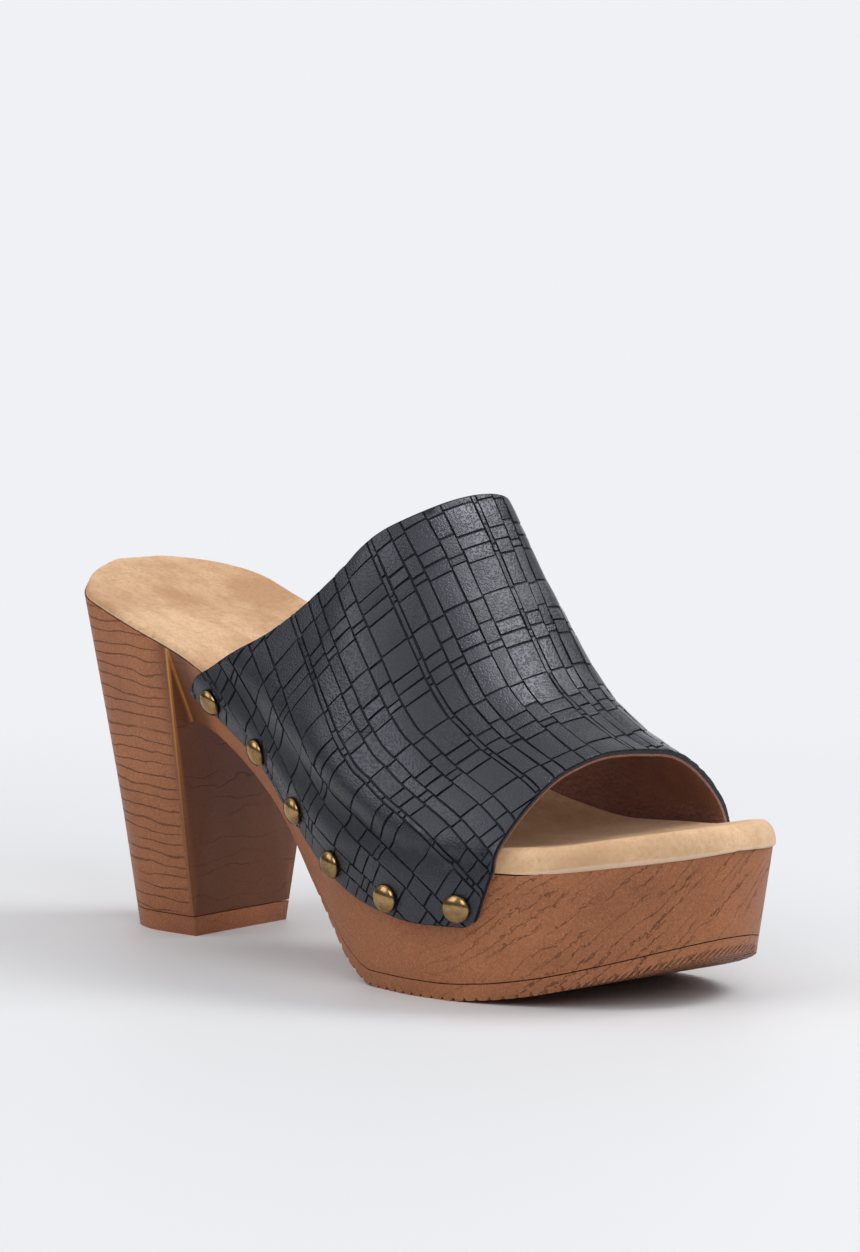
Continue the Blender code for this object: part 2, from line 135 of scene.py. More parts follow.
def marked(tree, name):
    """A number that the mesh keeps for each of its points."""
    return add(tree, "ShaderNodeAttribute", attribute_name=name).outputs["Fac"]


def new_finish(name, gloss):
    """A material with its surface shader, whose even values are set by name."""
    finish = bpy.data.materials.new(name)
    finish.use_nodes = True
    shader = finish.node_tree.nodes["Principled BSDF"]
    for socket, value in gloss.items():
        shader.inputs[socket].default_value = value
    return finish, finish.node_tree, shader


def place_of(tree, stretch=(1, 1, 1), turn=(0, 0, 0)):
    """Object coordinates, turned and then stretched for a pattern."""
    coords = add(tree, "ShaderNodeTexCoord").outputs["Object"]
    return add(tree, "ShaderNodeMapping", {
        "Vector": coords, "Scale": stretch, "Rotation": turn,
    }).outputs["Vector"]


def noise_of(place, scale, detail, roughness=0.5):
    """Soft noise, with the scale in waves to the metre."""
    return add(place.id_data, "ShaderNodeTexNoise", {
        "Vector": place, "Scale": scale, "Detail": detail, "Roughness": roughness,
    }).outputs["Fac"]


def relief(shader, height, depth, under=None):
    """Bump of a real depth in metres, laid over an earlier one where there is one."""
    tree = shader.id_data
    made = add(tree, "ShaderNodeBump", {"Height": height, "Distance": depth, "Strength": 1.0})
    if under:
        tree.links.new(under, made.inputs["Normal"])
    tree.links.new(made.outputs["Normal"], shader.inputs["Normal"])
    return made.outputs["Normal"]


table_mesh = bpy.data.meshes.new("table")
half = TABLE_SIDE / 2
table_mesh.from_pydata(
    [(-half, -half, 0), (half, -half, 0), (half, half, 0), (-half, half, 0)], [], [(0, 1, 2, 3)])
table = bpy.data.objects.new("table", table_mesh)
bpy.context.scene.collection.objects.link(table)
matt, tree, shader = new_finish("matt_table", {"Roughness": 0.62, "Specular IOR Level": 0.25})
shader.inputs["Base Color"].default_value = tint(*TABLE_COLOUR)
behind = add(tree, "ShaderNodeSeparateXYZ", {
    "Vector": place_of(tree, turn=(0, 0, -CAMERA_TURN))}).outputs["Y"]
fade = between(behind, TABLE_FADES_FROM, TABLE_FADES_TO, soft=True)
wall = add(tree, "ShaderNodeEmission", {"Color": tint(*WALL_COLOUR)})
joined = add(tree, "ShaderNodeMixShader", {
    0: fade, 1: shader.outputs["BSDF"], 2: wall.outputs["Emission"]})
tree.links.new(joined.outputs["Shader"], tree.nodes["Material Output"].inputs["Surface"])
table_mesh.materials.append(matt)

back = Vector((
    math.sin(CAMERA_TURN) * math.cos(CAMERA_RISE),
    -math.cos(CAMERA_TURN) * math.cos(CAMERA_RISE),
    math.sin(CAMERA_RISE),
))
right = Vector((math.cos(CAMERA_TURN), math.sin(CAMERA_TURN), 0))
camera = bpy.data.objects.new("camera", bpy.data.cameras.new("camera"))
camera.matrix_world = Matrix((right, back.cross(right), back)).transposed().to_4x4()
camera.location = LOOKED_AT + back * CAMERA_DISTANCE
camera.data.lens = CAMERA_LENS
camera.data.sensor_width = CAMERA_FILM
bpy.context.scene.collection.objects.link(camera)
bpy.context.scene.camera = camera
bpy.context.scene.view_settings.view_transform = "Standard"

LIGHTS = (
    # name, spot, side, power
    ("light_behind", (0.52, 0.74, 1.06), 0.6, 8.0),
    ("light_over", (-0.4, 0.2, 1.5), 1.6, 4.2),
    ("light_left", (-0.3, -1.0, 1.0), 1.05, 6.0),
    ("light_front", (1.1, -0.4, 0.9), 0.8, 4.6),
)
for name, spot, side, power in LIGHTS:
    lamp = bpy.data.lights.new(name, "AREA")
    lamp.size = side
    lamp.energy = power
    box = bpy.data.objects.new(name, lamp)
    box.location = spot
    box.rotation_euler = (LOOKED_AT - Vector(spot)).to_track_quat("-Z", "Y").to_euler()
    bpy.context.scene.collection.objects.link(box)

# The room gives little light near the floor and from one dark corner behind the heel, more
# overhead, and most from the paper wall.
DARK_CORNER = (-0.49, 0.68, 0.55)
DARK_SHARE = 0.35
ROOM_LOW, ROOM_HIGH, ROOM_PAPER = 0.14, 0.56, 1.4
room = bpy.data.worlds.new("room")
room.use_nodes = True
bpy.context.scene.world = room
sky = room.node_tree
way = add(sky, "ShaderNodeTexCoord").outputs["Generated"]
up = add(sky, "ShaderNodeSeparateXYZ", {"Vector": way}).outputs["Z"]
behind = add(sky, "ShaderNodeVectorMath", {0: way, 1: -back}, operation="DOT_PRODUCT")
height = between(up, 0.0, 0.8, ROOM_LOW, ROOM_HIGH, soft=True)
corner = add(sky, "ShaderNodeVectorMath", {0: way, 1: DARK_CORNER}, operation="DOT_PRODUCT")
dark = between(corner.outputs["Value"], 0.5, 0.95, 1.0, DARK_SHARE, soft=True)
height = times(height, dark)
paper = between(behind.outputs["Value"], 0.62, 0.97, 0.0, 1.0, soft=True)
height = times_plus(paper, ROOM_PAPER, height)
seen = add(sky, "ShaderNodeLightPath").outputs["Is Camera Ray"]
strength = add(sky, "ShaderNodeMix", {0: seen, 2: height, 3: 1.0}).outputs[0]
surround = sky.nodes["Background"]
surround.inputs["Color"].default_value = tint(*WALL_COLOUR)
sky.links.new(strength, surround.inputs["Strength"])

# Moulded unit
# Platform, shank and block heel in one light moulding, painted to look like stacked wood.
# Its walls carry cut grain lines, and the paint is thin and golden on the heel's corners, where a
# painted highlight runs as well. The breast below the shank carries painted shade.
LENGTH = 228 * MM
BALL_WIDTH = 84 * MM
HEEL_HEIGHT = 101 * MM
PLATFORM_HEIGHT = 35 * MM
SHANK_DEPTH = 21.5 * MM
TOE_SPRING = 13 * MM
WALL_LEAN = 7.5 * MM
SEAT_DISH = 2.2 * MM
DISH_FADE_SHARE = 0.15
BREAST_SHARE = 0.243
BREAST_SLOPE = 5.4 * MM
BREAST_COVE = 3 * MM
HEEL_TURN = math.radians(6.2)
HEEL_TURN_SHARE = 0.123
HEEL_SHIFT = 4 * MM
TIP_LENGTH = 33.5 * MM
TIP_WIDTH = 37.5 * MM
TIP_ROUND_PART = 0.62
TOP_PIECE = 5.5 * MM
OUTSOLE = 4.3 * MM
OUTSOLE_SHARE = 0.50
FEATHER = 1.3 * MM
FEATHER_RUN = 12 * MM
GAP = 0.3 * MM
CORNER_SOFTNESS = 0.7 * MM
CORNER_STEPS = 3
CORNER_FADE = 5 * MM
BREAST_FACE = (0.9 * MM, 1.4 * MM)
BREAST_EDGE = 3 * MM
SHARPEST_LEFT = math.radians(32)
FOOTPRINT_MIDDLE = Vector((114.35, 0.513, 0)) * MM
ACROSS = 18
DOWN_WALL = 10
DOWN_HEEL = 14
UNDER = 8
HEEL_RINGS = 44
ARCH_RINGS = 28
FORE_RINGS = 64
UNDER_TURN_SHARE = 0.27
MERGED_WITHIN = 0.02 * MM

# Top edge of the unit in plan, as shares of LENGTH and of BALL_WIDTH
PLAN = (
    # along, outer, inner
    (0.00, 0.000, 0.000),
    (0.02, 0.175, 0.193),
    (0.06, 0.330, 0.316),
    (0.12, 0.446, 0.375),
    (0.20, 0.450, 0.372),
    (0.30, 0.422, 0.345),
    (0.40, 0.424, 0.330),
    (0.50, 0.465, 0.356),
    (0.60, 0.512, 0.420),
    (0.68, 0.520, 0.480),
    (0.76, 0.486, 0.521),
    (0.84, 0.400, 0.530),
    (0.91, 0.275, 0.498),
    (0.96, 0.121, 0.440),
    (0.99, -0.035, 0.320),
    (1.00, -0.163, 0.163),
)

# Height of that edge above PLATFORM_HEIGHT, as a share of what the heel adds to it
PITCH = (
    # along, rise
    (0.00, 1.000),
    (0.08, 0.935),
    (0.16, 0.845),
    (0.24, 0.755),
    (0.34, 0.610),
    (0.44, 0.425),
    (0.54, 0.228),
    (0.64, 0.090),
    (0.74, 0.022),
    (0.84, 0.000),
    (0.93, 0.045),
    (1.00, 0.082),
)

# Underside in front of the heel, as shares of the arch's height and of TOE_SPRING
UNDERSIDE = (
    # along, arch, spring
    (0.24, 1.000, 0.00),
    (0.28, 0.970, 0.00),
    (0.33, 0.895, 0.00),
    (0.38, 0.790, 0.00),
    (0.42, 0.670, 0.00),
    (0.46, 0.525, 0.00),
    (0.50, 0.370, 0.00),
    (0.54, 0.215, 0.00),
    (0.58, 0.080, 0.00),
    (0.63, 0.000, 0.00),
    (0.74, 0.000, 0.00),
    (0.80, 0.000, 0.07),
    (0.86, 0.000, 0.24),
    (0.93, 0.000, 0.57),
    (1.00, 0.000, 1.00),
)

# How far the side wall leans in at its foot, as a share of WALL_LEAN
LEAN = (
    # along, lean
    (0.24, 1.45),
    (0.30, 1.25),
    (0.38, 1.05),
    (0.48, 1.00),
    (0.58, 1.00),
    (0.75, 0.80),
    (1.00, 0.53),
)


def smooth(table, column, at):
    """The table's column at one place or many, on a monotone cubic through its rows."""
    rows = np.array(table, float)
    x, y = rows[:, 0], rows[:, column]
    at = np.clip(at, x[0], x[-1])
    steps = np.diff(y) / np.diff(x)
    slopes = np.concatenate(([steps[0]], np.zeros(len(steps) - 1), [steps[-1]]))
    for i, (before, after) in enumerate(zip(steps, steps[1:]), 1):
        if before * after > 0:
            slopes[i] = 2 / (1 / before + 1 / after)
    i = np.clip(np.searchsorted(x, at) - 1, 0, len(steps) - 1)
    run = x[i + 1] - x[i]
    t = (at - x[i]) / run
    start = y[i] * (1 + 2 * t) * (1 - t) ** 2 + slopes[i] * run * t * (1 - t) ** 2
    end = y[i + 1] * t * t * (3 - 2 * t) + slopes[i + 1] * run * t * t * (t - 1)
    return start + end


def ease(value, low, high):
    """0 below the low end and 1 above the high one, with a soft step between."""
    t = np.clip((value - low) / (high - low), 0, 1)
    return t * t * (3 - 2 * t)


def point(x, y, z):
    """Points from their three coordinates, each one number or many."""
    return np.stack(np.broadcast_arrays(x, y, z), axis=-1).astype(float)


def mix(first, second, share):
    """Points part of the way from the first to the second."""
    return first + (second - first) * np.asarray(share, float)[..., None]


def rounding(along):
    """Angle that makes the plan's table smooth round the heel and the toe."""
    return np.arccos(1 - 2 * np.clip(along, 0, 1))


def unrounding(angle):
    return (1 - np.cos(np.clip(angle, 0, math.pi))) / 2


def stations(first, last, count):
    """Places along, closer together where the outline turns round heel and toe."""
    return unrounding(np.linspace(rounding(first), rounding(last), count))


PLAN_BY_ANGLE = [(rounding(along), outer, inner) for along, outer, inner in PLAN]


def edge_z(along):
    rise = smooth(PITCH, 1, along)
    return PLATFORM_HEIGHT + rise * (HEEL_HEIGHT - PLATFORM_HEIGHT)


def edge_point(along, side):
    """Top edge of the unit."""
    turn = rounding(along)
    widths = [smooth(PLAN_BY_ANGLE, column, turn) for column in (1, 2)]
    half = np.where(np.asarray(side) < 0, *widths) * BALL_WIDTH
    return point(np.asarray(along) * LENGTH, side * half, edge_z(along))


def inward(along, side):
    """Level unit vector, square to the edge and pointing into the shoe."""
    turn = rounding(along)
    step = 0.04
    run = (edge_point(unrounding(turn + step), side)
           - edge_point(unrounding(turn - step), side))[..., :2]
    run = run / np.maximum(np.linalg.norm(run, axis=-1, keepdims=True), 1e-12)
    square = point(run[..., 1] * side, -run[..., 0] * side, 0)
    along = np.asarray(along)[..., None]
    square = np.where(along <= 0, (1.0, 0.0, 0.0), square)
    return np.where(along >= 1, (-1.0, 0.0, 0.0), square)


def skewed(along, side):
    """Sections turn with the heel block near its breast, and lie square elsewhere."""
    near = np.clip(1 - np.abs(along - BREAST_SHARE) / BREAST_SHARE, 0, 1)
    half = (edge_point(BREAST_SHARE, 1) - edge_point(BREAST_SHARE, -1))[1] / 2
    return along - side * math.tan(HEEL_TURN) * half / LENGTH * ease(near, 0, 1)


def under_z(along):
    """Floor side of the unit in front of the heel, outsole included."""
    arch = smooth(UNDERSIDE, 1, along) * (edge_z(BREAST_SHARE) - SHANK_DEPTH)
    spring = smooth(UNDERSIDE, 2, along) * TOE_SPRING
    into_cove = np.clip(1 - (along - BREAST_SHARE) * LENGTH / BREAST_COVE, 0, 1)
    return arch + spring - BREAST_COVE * (1 - np.sqrt(1 - into_cove * into_cove))


def wall_lean(along):
    return smooth(LEAN, 1, along) * WALL_LEAN


def wall_point(along, side, down):
    """Side wall in front of the heel: down is 0 at the edge and 1 at the floor side."""
    top = edge_point(along, side)
    foot = top + inward(along, side) * np.asarray(wall_lean(along))[..., None]
    foot[..., 2] = under_z(along)
    return mix(top, foot, down)


def tip_edge(share, side):
    """D-shaped outline of the heel's tip on the floor, from its back to the breast."""
    bulge = np.sqrt(1 - np.clip(1 - share / TIP_ROUND_PART, 0, 1) ** 2)
    pivot = HEEL_TURN_SHARE * LENGTH
    x = BREAST_SHARE * LENGTH - BREAST_SLOPE - TIP_LENGTH * (1 - share) - pivot
    y = side * bulge * TIP_WIDTH / 2
    cos, sin = math.cos(HEEL_TURN), math.sin(HEEL_TURN)
    return point(pivot + x * cos - y * sin, x * sin + y * cos - HEEL_SHIFT, 0)


def heel_wall(along, side, z):
    """The heel block's wall at height z, straight from the edge to the tip."""
    top = edge_point(skewed(along, side), side)
    return mix(top, tip_edge(along / BREAST_SHARE, side), (top[..., 2] - z) / top[..., 2])


def dished(outer, inner, across):
    """Points of the seat between two edge points, sunk towards the middle."""
    spot = mix(outer, inner, (across + 1) / 2)
    along = np.clip(spot[..., 0] / LENGTH, 0, 1)
    sag = SEAT_DISH * ease(np.minimum(along, 1 - along), 0, DISH_FADE_SHARE)
    spot[..., 2] = edge_z(along) - sag * (1 - across * across)
    return spot


def outsole_thickness(along):
    """Full depth under the ball and toe, feathered at the arch."""
    run = np.clip((along - OUTSOLE_SHARE) * LENGTH / FEATHER_RUN, 0, 1)
    return FEATHER + (OUTSOLE - FEATHER) * run


def new_piece(name, mesh, *finishes):
    """A piece at the origin, on the shoe's one body, with its finishes in order."""
    mesh.transform(Matrix.Translation(-FOOTPRINT_MIDDLE))
    for finish in finishes:
        mesh.materials.append(finish)
    piece = bpy.data.objects.new(name, mesh)
    bpy.context.scene.collection.objects.link(piece)
    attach(piece, "root")
    return piece


def lofted(name, rings, back_cap=False, front_cap=False):
    """Closed skin over rings of equal count; one that shrinks to a line needs no cap."""
    shape = bmesh.new()
    rows = [[shape.verts.new(spot) for spot in ring] for ring in rings]
    for near, far in zip(rows, rows[1:]):
        for i, vert in enumerate(near):
            j = (i + 1) % len(near)
            shape.faces.new((vert, near[j], far[j], far[i]))
    if back_cap:
        shape.faces.new(reversed(rows[0]))
    if front_cap:
        shape.faces.new(rows[-1])
    bmesh.ops.remove_doubles(shape, verts=shape.verts, dist=MERGED_WITHIN)
    bmesh.ops.dissolve_degenerate(shape, edges=shape.edges, dist=MERGED_WITHIN / 2)
    bmesh.ops.recalc_face_normals(shape, faces=shape.faces)
    mesh = bpy.data.meshes.new(name)
    shape.to_mesh(mesh)
    shape.free()
    return mesh


def with_soft_corners(mesh, width):
    """The mesh with its corners rounded over, as plain geometry."""
    holder = bpy.data.objects.new("holder", mesh)
    bpy.context.scene.collection.objects.link(holder)
    round_over = holder.modifiers.new("round_over", "BEVEL")
    round_over.width = width
    round_over.segments = CORNER_STEPS
    round_over.angle_limit = SHARPEST_LEFT
    round_over.limit_method = "ANGLE"
    round_over.use_clamp_overlap = True
    graph = bpy.context.evaluated_depsgraph_get()
    done = bpy.data.meshes.new_from_object(holder.evaluated_get(graph))
    bpy.data.objects.remove(holder)
    done.shade_smooth()
    return done


def spots_of(mesh):
    found = np.zeros(len(mesh.vertices) * 3)
    mesh.vertices.foreach_get("co", found)
    return found.reshape(-1, 3)


def mark(mesh, name, values):
    """Keeps one number for each point of the mesh, for its finish to read."""
    mesh.attributes.new(name, "FLOAT", "POINT").data.foreach_set(
        "value", np.asarray(values, np.float32))


def from_path(spots, path):
    """How far each spot is from a line through the path's points, and how far along it."""
    nearest, run_to = np.full(len(spots), 1e9), np.zeros(len(spots))
    passed = 0.0
    for start, end in zip(path, path[1:]):
        run = end - start
        length = np.linalg.norm(run)
        t = np.clip((spots - start) @ run / (length * length), 0, 1)
        away = np.linalg.norm(spots - start - t[:, None] * run, axis=1)
        run_to = np.where(away < nearest, passed + t * length, run_to)
        nearest = np.minimum(nearest, away)
        passed += length
    return nearest, run_to


def seat_row(along):
    """Top of the unit from its outer to its inner edge."""
    ends = [edge_point(skewed(along, side), side) for side in (-1, 1)]
    return dished(*ends, np.linspace(-1, 1, ACROSS + 1))


def closed_section(top, walls):
    """Top row, inner wall down, straight across underneath, and the outer wall up."""
    under = mix(walls[1][-1], walls[-1][-1], np.linspace(0, 1, UNDER + 1)[1:-1])
    return np.concatenate([top, walls[1], under, walls[-1][::-1]])


def heel_section(along):
    """Section through the heel block, down to its top piece."""
    shank_z = under_z(BREAST_SHARE + BREAST_COVE / LENGTH)
    walls = {}
    for side in (-1, 1):
        rim_z = edge_point(skewed(along, side), side)[2]
        heights = np.concatenate([
            np.linspace(rim_z, shank_z, DOWN_WALL + 1)[1:],
            np.linspace(shank_z, TOP_PIECE + GAP, DOWN_HEEL + 1)[1:],
        ])
        walls[side] = heel_wall(along, side, heights)
    return closed_section(seat_row(along), walls)


def shank_section(along):
    """Section in front of the heel, down to the arch or to the outsole's seat."""
    walls = {}
    for side in (-1, 1):
        at = skewed(along, side)
        floor = 1.0
        if along >= OUTSOLE_SHARE:
            floor -= (outsole_thickness(at) + GAP) / (edge_z(at) - under_z(at))
        walls[side] = wall_point(at, side, np.linspace(0, floor, DOWN_WALL + 1)[1:])
    feet = {side: walls[side][-1] for side in walls}
    for side in walls:
        steps = np.linspace(0, UNDER_TURN_SHARE, DOWN_HEEL + 1)[1:]
        walls[side] = np.concatenate([walls[side], mix(feet[side], feet[-side], steps)])
    return closed_section(seat_row(along), walls)


def shank_stations():
    """Places in front of the heel: its cove, the arch, then ball and toe."""
    cove = BREAST_SHARE + np.array((0, 0.05, 0.15, 0.3, 0.5, 0.75)) * BREAST_COVE / LENGTH
    just_behind = OUTSOLE_SHARE - 0.1 * MM / LENGTH
    arch = stations(BREAST_SHARE + BREAST_COVE / LENGTH, just_behind, ARCH_RINGS)
    fore = stations(OUTSOLE_SHARE + FEATHER_RUN / LENGTH, 1, FORE_RINGS)
    return np.concatenate([cove, arch, [OUTSOLE_SHARE], fore])


unit_rings = [heel_section(s) for s in stations(0, BREAST_SHARE, HEEL_RINGS)]
unit_rings += [shank_section(s) for s in shank_stations()]
unit_mesh = with_soft_corners(lofted("moulded_unit", unit_rings), CORNER_SOFTNESS)
spots = spots_of(unit_mesh)
corner = {}
for side in (-1, 1):
    heights = np.linspace(TOP_PIECE + GAP, edge_point(skewed(BREAST_SHARE, side), side)[2], 24)
    corner[side] = heel_wall(BREAST_SHARE, side, heights)
step_line = wall_point(skewed(BREAST_SHARE, -1), -1, np.linspace(0, 1, 12))
from_corner = np.minimum(from_path(spots, corner[-1])[0], from_path(spots, corner[1])[0])
from_step = from_path(spots, step_line)[0]
breast_x = BREAST_SHARE * LENGTH
face = corner[-1][-1] - corner[-1][0], corner[1][0] - corner[-1][0]
square = np.cross(*face)
from_breast = np.abs((spots - corner[-1][0]) @ (square / np.linalg.norm(square)))
on_wall = ease(breast_x - spots[:, 0], -BREAST_EDGE, BREAST_EDGE)
on_wall *= ease(from_breast, *BREAST_FACE)
mark(unit_mesh, "corner", np.clip(from_corner / CORNER_FADE, 0, 1))
mark(unit_mesh, "step", np.clip(from_step / CORNER_FADE, 0, 1))
mark(unit_mesh, "on_wall", on_wall)

WOOD_LIGHT = tint(184, 117, 77)
WOOD_DEEP = tint(153, 92, 59)
WOOD_LINE = tint(92, 54, 38)
WOOD_GOLD = tint(214, 146, 78)
WOOD_FLECK = tint(214, 158, 108)
LINE_DEPTH = 0.35 * MM
PAINT_GRAIN = 0.03 * MM
RIB_RELIEF = 0.7 * MM
TOE_RIB_PITCH = 1.9 * MM
BREAST_ZONE = (-50 * MM, -44 * MM)
TOE_ZONE = (36 * MM, 100 * MM)
GOLD_ZONE = (30 * MM, 82 * MM)
RIB_ZONE = (74 * MM, 88 * MM)
RIB_RISE_ZONE = (78 * MM, 112 * MM)
RIB_RISE = (0.4 * MM, 3.8 * MM)
RIB_FADE = 0.7 * MM

# Cut lines: their pitch, half a line's width as a share of it, their slow wander, their
# quick raggedness, and the range of the noise in which a line fades in
HEEL_LINES = (3.3 * MM, 0.085, 4.5 * MM, 0.7 * MM, (0.26, 0.40))
TOE_LINES = (3.8 * MM, 0.070, 8.0 * MM, 4.6 * MM, (0.40, 0.54))
BREAST_LINES = (4.2 * MM, 0.100, 12.0 * MM, 0.6 * MM, (0.40, 0.56))


def paint_tone(place, mottle, speckle):
    """Cloudy brown paint, with dark and pale flecks."""
    cloud = noise_of(place_of(place.id_data, (1, 1, 2.2)), 21.0, 3.0)
    tone = times_plus(mottle, 0.55, times(cloud, 0.45))
    base = blend_of(between(tone, 0.36, 0.64), WOOD_DEEP, WOOD_LIGHT)
    base = blend_of(between(speckle, 0.35, 0.75, 0.0, 0.55), base, WOOD_LINE)
    flecks = noise_of(place, 2600.0, 2.0, 0.6)
    return blend_of(between(flecks, 0.48, 0.70, 0.0, 0.3), base, WOOD_FLECK)


def cut_lines(height, across, pitch, width, wander, ragged, faint):
    """1 in the middle of each wandering line, and 0 between the lines."""
    tree = height.id_data
    flat = add(tree, "ShaderNodeCombineXYZ", {"X": across, "Y": times(height, 2.2)}).outputs[0]
    slow = noise_of(flat, 55.0, 2.0)
    quick = noise_of(flat, 420.0, 2.0, 0.6)
    turns = divided(times_plus(quick, ragged, times_plus(slow, wander, height)), pitch)
    by_line = add(tree, "ShaderNodeCombineXYZ", {"X": turns}).outputs[0]
    turns = times_plus(noise_of(by_line, 0.9, 1.0), 0.5, turns)
    line = between(sum_of("PINGPONG", turns, 0.5), 0.0, width, 1.0, 0.0, soft=True)
    row = sum_of("FLOOR", plus(turns, 0.5))
    patch = add(tree, "ShaderNodeCombineXYZ", {
        "X": times(across, 38.0), "Y": times(row, 7.3)}).outputs[0]
    return times(line, between(noise_of(patch, 1.0, 1.0), *faint))


def grain_cuts(xyz, on_wall, corner):
    """The cut lines together: level on the heel's walls, slanting at the toe, and faint on
    the breast."""
    around = plus(xyz["X"], times(xyz["Y"], 0.35))
    heel_cut = cut_lines(times_plus(xyz["X"], 0.05, xyz["Z"]), around, *HEEL_LINES)
    heel_cut = times(heel_cut, times(on_wall, between(corner, 0.2, 0.36, soft=True)))
    slant = times_plus(xyz["X"], -0.35, times_plus(xyz["Y"], -0.95, xyz["Z"]))
    toe_cut = cut_lines(slant, plus(xyz["X"], xyz["Y"]), *TOE_LINES)
    toe_cut = times(toe_cut, between(xyz["X"], *TOE_ZONE, 0.06, 0.9, soft=True))
    breast_cut = cut_lines(xyz["Z"], xyz["Y"], *BREAST_LINES)
    breast = times(minus(1.0, on_wall), between(xyz["X"], *BREAST_ZONE, 0.35, 0.0))
    return larger(heel_cut, larger(toe_cut, times(breast_cut, breast)))


def tread_ribs(tree, ahead):
    """0 in the tread's grooves and 1 elsewhere. The grooves run up the edge of the sole,
    and higher where the toe springs up."""
    above = marked(tree, "above")
    leaning = times_plus(above, -1.5, marked(tree, "around"))
    ribs = sum_of("PINGPONG", divided(leaning, TOE_RIB_PITCH), 0.5)
    ribs = between(ribs, 0.04, 0.3, soft=True)
    reach = between(ahead, *RIB_RISE_ZONE, *RIB_RISE)
    share = between(minus(reach, above), 0.0, RIB_FADE)
    share = times(share, between(ahead, *RIB_ZONE))
    return minus(1.0, times(share, minus(1.0, ribs)))


def wood_effect(name, on_unit, gloss):
    """Painted moulding with cut grain lines. On the unit, 1, its breast is painted darker as
    painted shade, and its heel's corners are golden, partly where the paint is worn thin and
    partly as a painted highlight.
    Off it, 0, it is ribbed at the toe, with painted shade in the grooves."""
    finish, tree, shader = new_finish(name, gloss)
    place = place_of(tree)
    xyz = add(tree, "ShaderNodeSeparateXYZ", {"Vector": place}).outputs
    on_wall, corner, step = (marked(tree, name) for name in ("on_wall", "corner", "step"))
    mottle = noise_of(place, 42.0, 5.0, 0.62)
    speckle = noise_of(place, 1500.0, 3.0, 0.75)
    cuts = grain_cuts(xyz, on_wall, corner)
    base = paint_tone(place, mottle, speckle)
    base = blend_of(times(cuts, 0.55), base, WOOD_LINE)
    # Painted shade: the breast, which lies in the shadow of the shank and platform, is painted
    # darker.
    painted_breast_shade = times(minus(1.0, on_wall), between(xyz["X"], *BREAST_ZONE, 0.72, 0.0))
    base = blend_of(times(painted_breast_shade, on_unit), base, WOOD_LINE)
    # Golden along the heel's corners and the step where the shank meets the heel, brighter higher
    # up: partly paint worn thin, partly a painted highlight.
    high = between(xyz["Z"], *GOLD_ZONE, 0.15, 1.0)
    wear_and_highlight = times(between(corner, 0.05, 0.2, 1.0, 0.0, soft=True), high)
    step_wear_and_highlight = between(step, 0.0, 0.22, 0.9, 0.0, soft=True)
    wear_and_highlight = times(larger(wear_and_highlight, step_wear_and_highlight), on_unit)
    base = blend_of(times(wear_and_highlight, 0.85), base, WOOD_GOLD)
    fine = relief(shader, speckle, PAINT_GRAIN)
    cut_in = relief(shader, minus(1.0, cuts), LINE_DEPTH, fine)
    if not on_unit:
        ribs = tread_ribs(tree, xyz["X"])
        # Painted shade: the tread's grooves are painted darker.
        base = blend_of(between(ribs, 0.0, 1.0, 0.45, 0.0), base, WOOD_LINE)
        relief(shader, ribs, RIB_RELIEF, cut_in)
    tree.links.new(base, shader.inputs["Base Color"])
    dull = between(mottle, 0.3, 0.7, 0.42, 0.58)
    tree.links.new(times_plus(cuts, 0.25, dull), shader.inputs["Roughness"])
    return finish


painted_wood = wood_effect("painted_wood", 1.0, {"Specular IOR Level": 0.3})
moulded_unit = new_piece("moulded_unit", unit_mesh, painted_wood)
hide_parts("sole_unit")

# Heel top piece
# Hard-wearing plate under the heel, on the same taper as the block and the same colour,
# fixed from below. A dark joint runs round it.
TOP_SOFTNESS = 0.5 * MM
top_rings = []
for along in stations(0, BREAST_SHARE, HEEL_RINGS):
    rows = [heel_wall(along, side, TOP_PIECE) for side in (-1, 1)]
    rows += [heel_wall(along, side, 0.0) for side in (1, -1)]
    steps = np.linspace(0, 1, 5)
    top_rings.append(np.concatenate([mix(*rows[:2], steps), mix(*rows[2:], steps)]))
top_mesh = with_soft_corners(lofted("top_piece", top_rings, front_cap=True), TOP_SOFTNESS)
tread_rubber = wood_effect("tread_rubber", 0.0, {"Specular IOR Level": 0.35})
heel_top = new_piece("heel_top", top_mesh, tread_rubber)
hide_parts("heel_top_piece")

# Forefoot outsole
# Ribbed tread of the same brown, let in under the ball and toe. Its ribs run out through
# the edge, more deeply where the toe springs up.
RIB_PITCH = 3.6 * MM
RIB_GROOVE = 1.3 * MM
RIB_DEPTH = 0.9 * MM
RIB_DEPTH_AT_TOE = 2.0 * MM
outsole_marks = []
for i in range(int((1 - OUTSOLE_SHARE) * LENGTH / RIB_PITCH)):
    start = OUTSOLE_SHARE + i * RIB_PITCH / LENGTH
    outsole_marks += [(start + part * RIB_PITCH / LENGTH, 0.0) for part in (0, 0.3, 0.6)]
    groove = RIB_GROOVE / LENGTH
    end = start + RIB_PITCH / LENGTH
    outsole_marks += [(end - groove, 0.0), (end - 0.7 * groove, 0.8), (end - 0.3 * groove, 0.8)]
outsole_marks += [(s, 0.0) for s in stations(outsole_marks[-1][0] + 0.002, 1, 7)]
outsole_rings = []
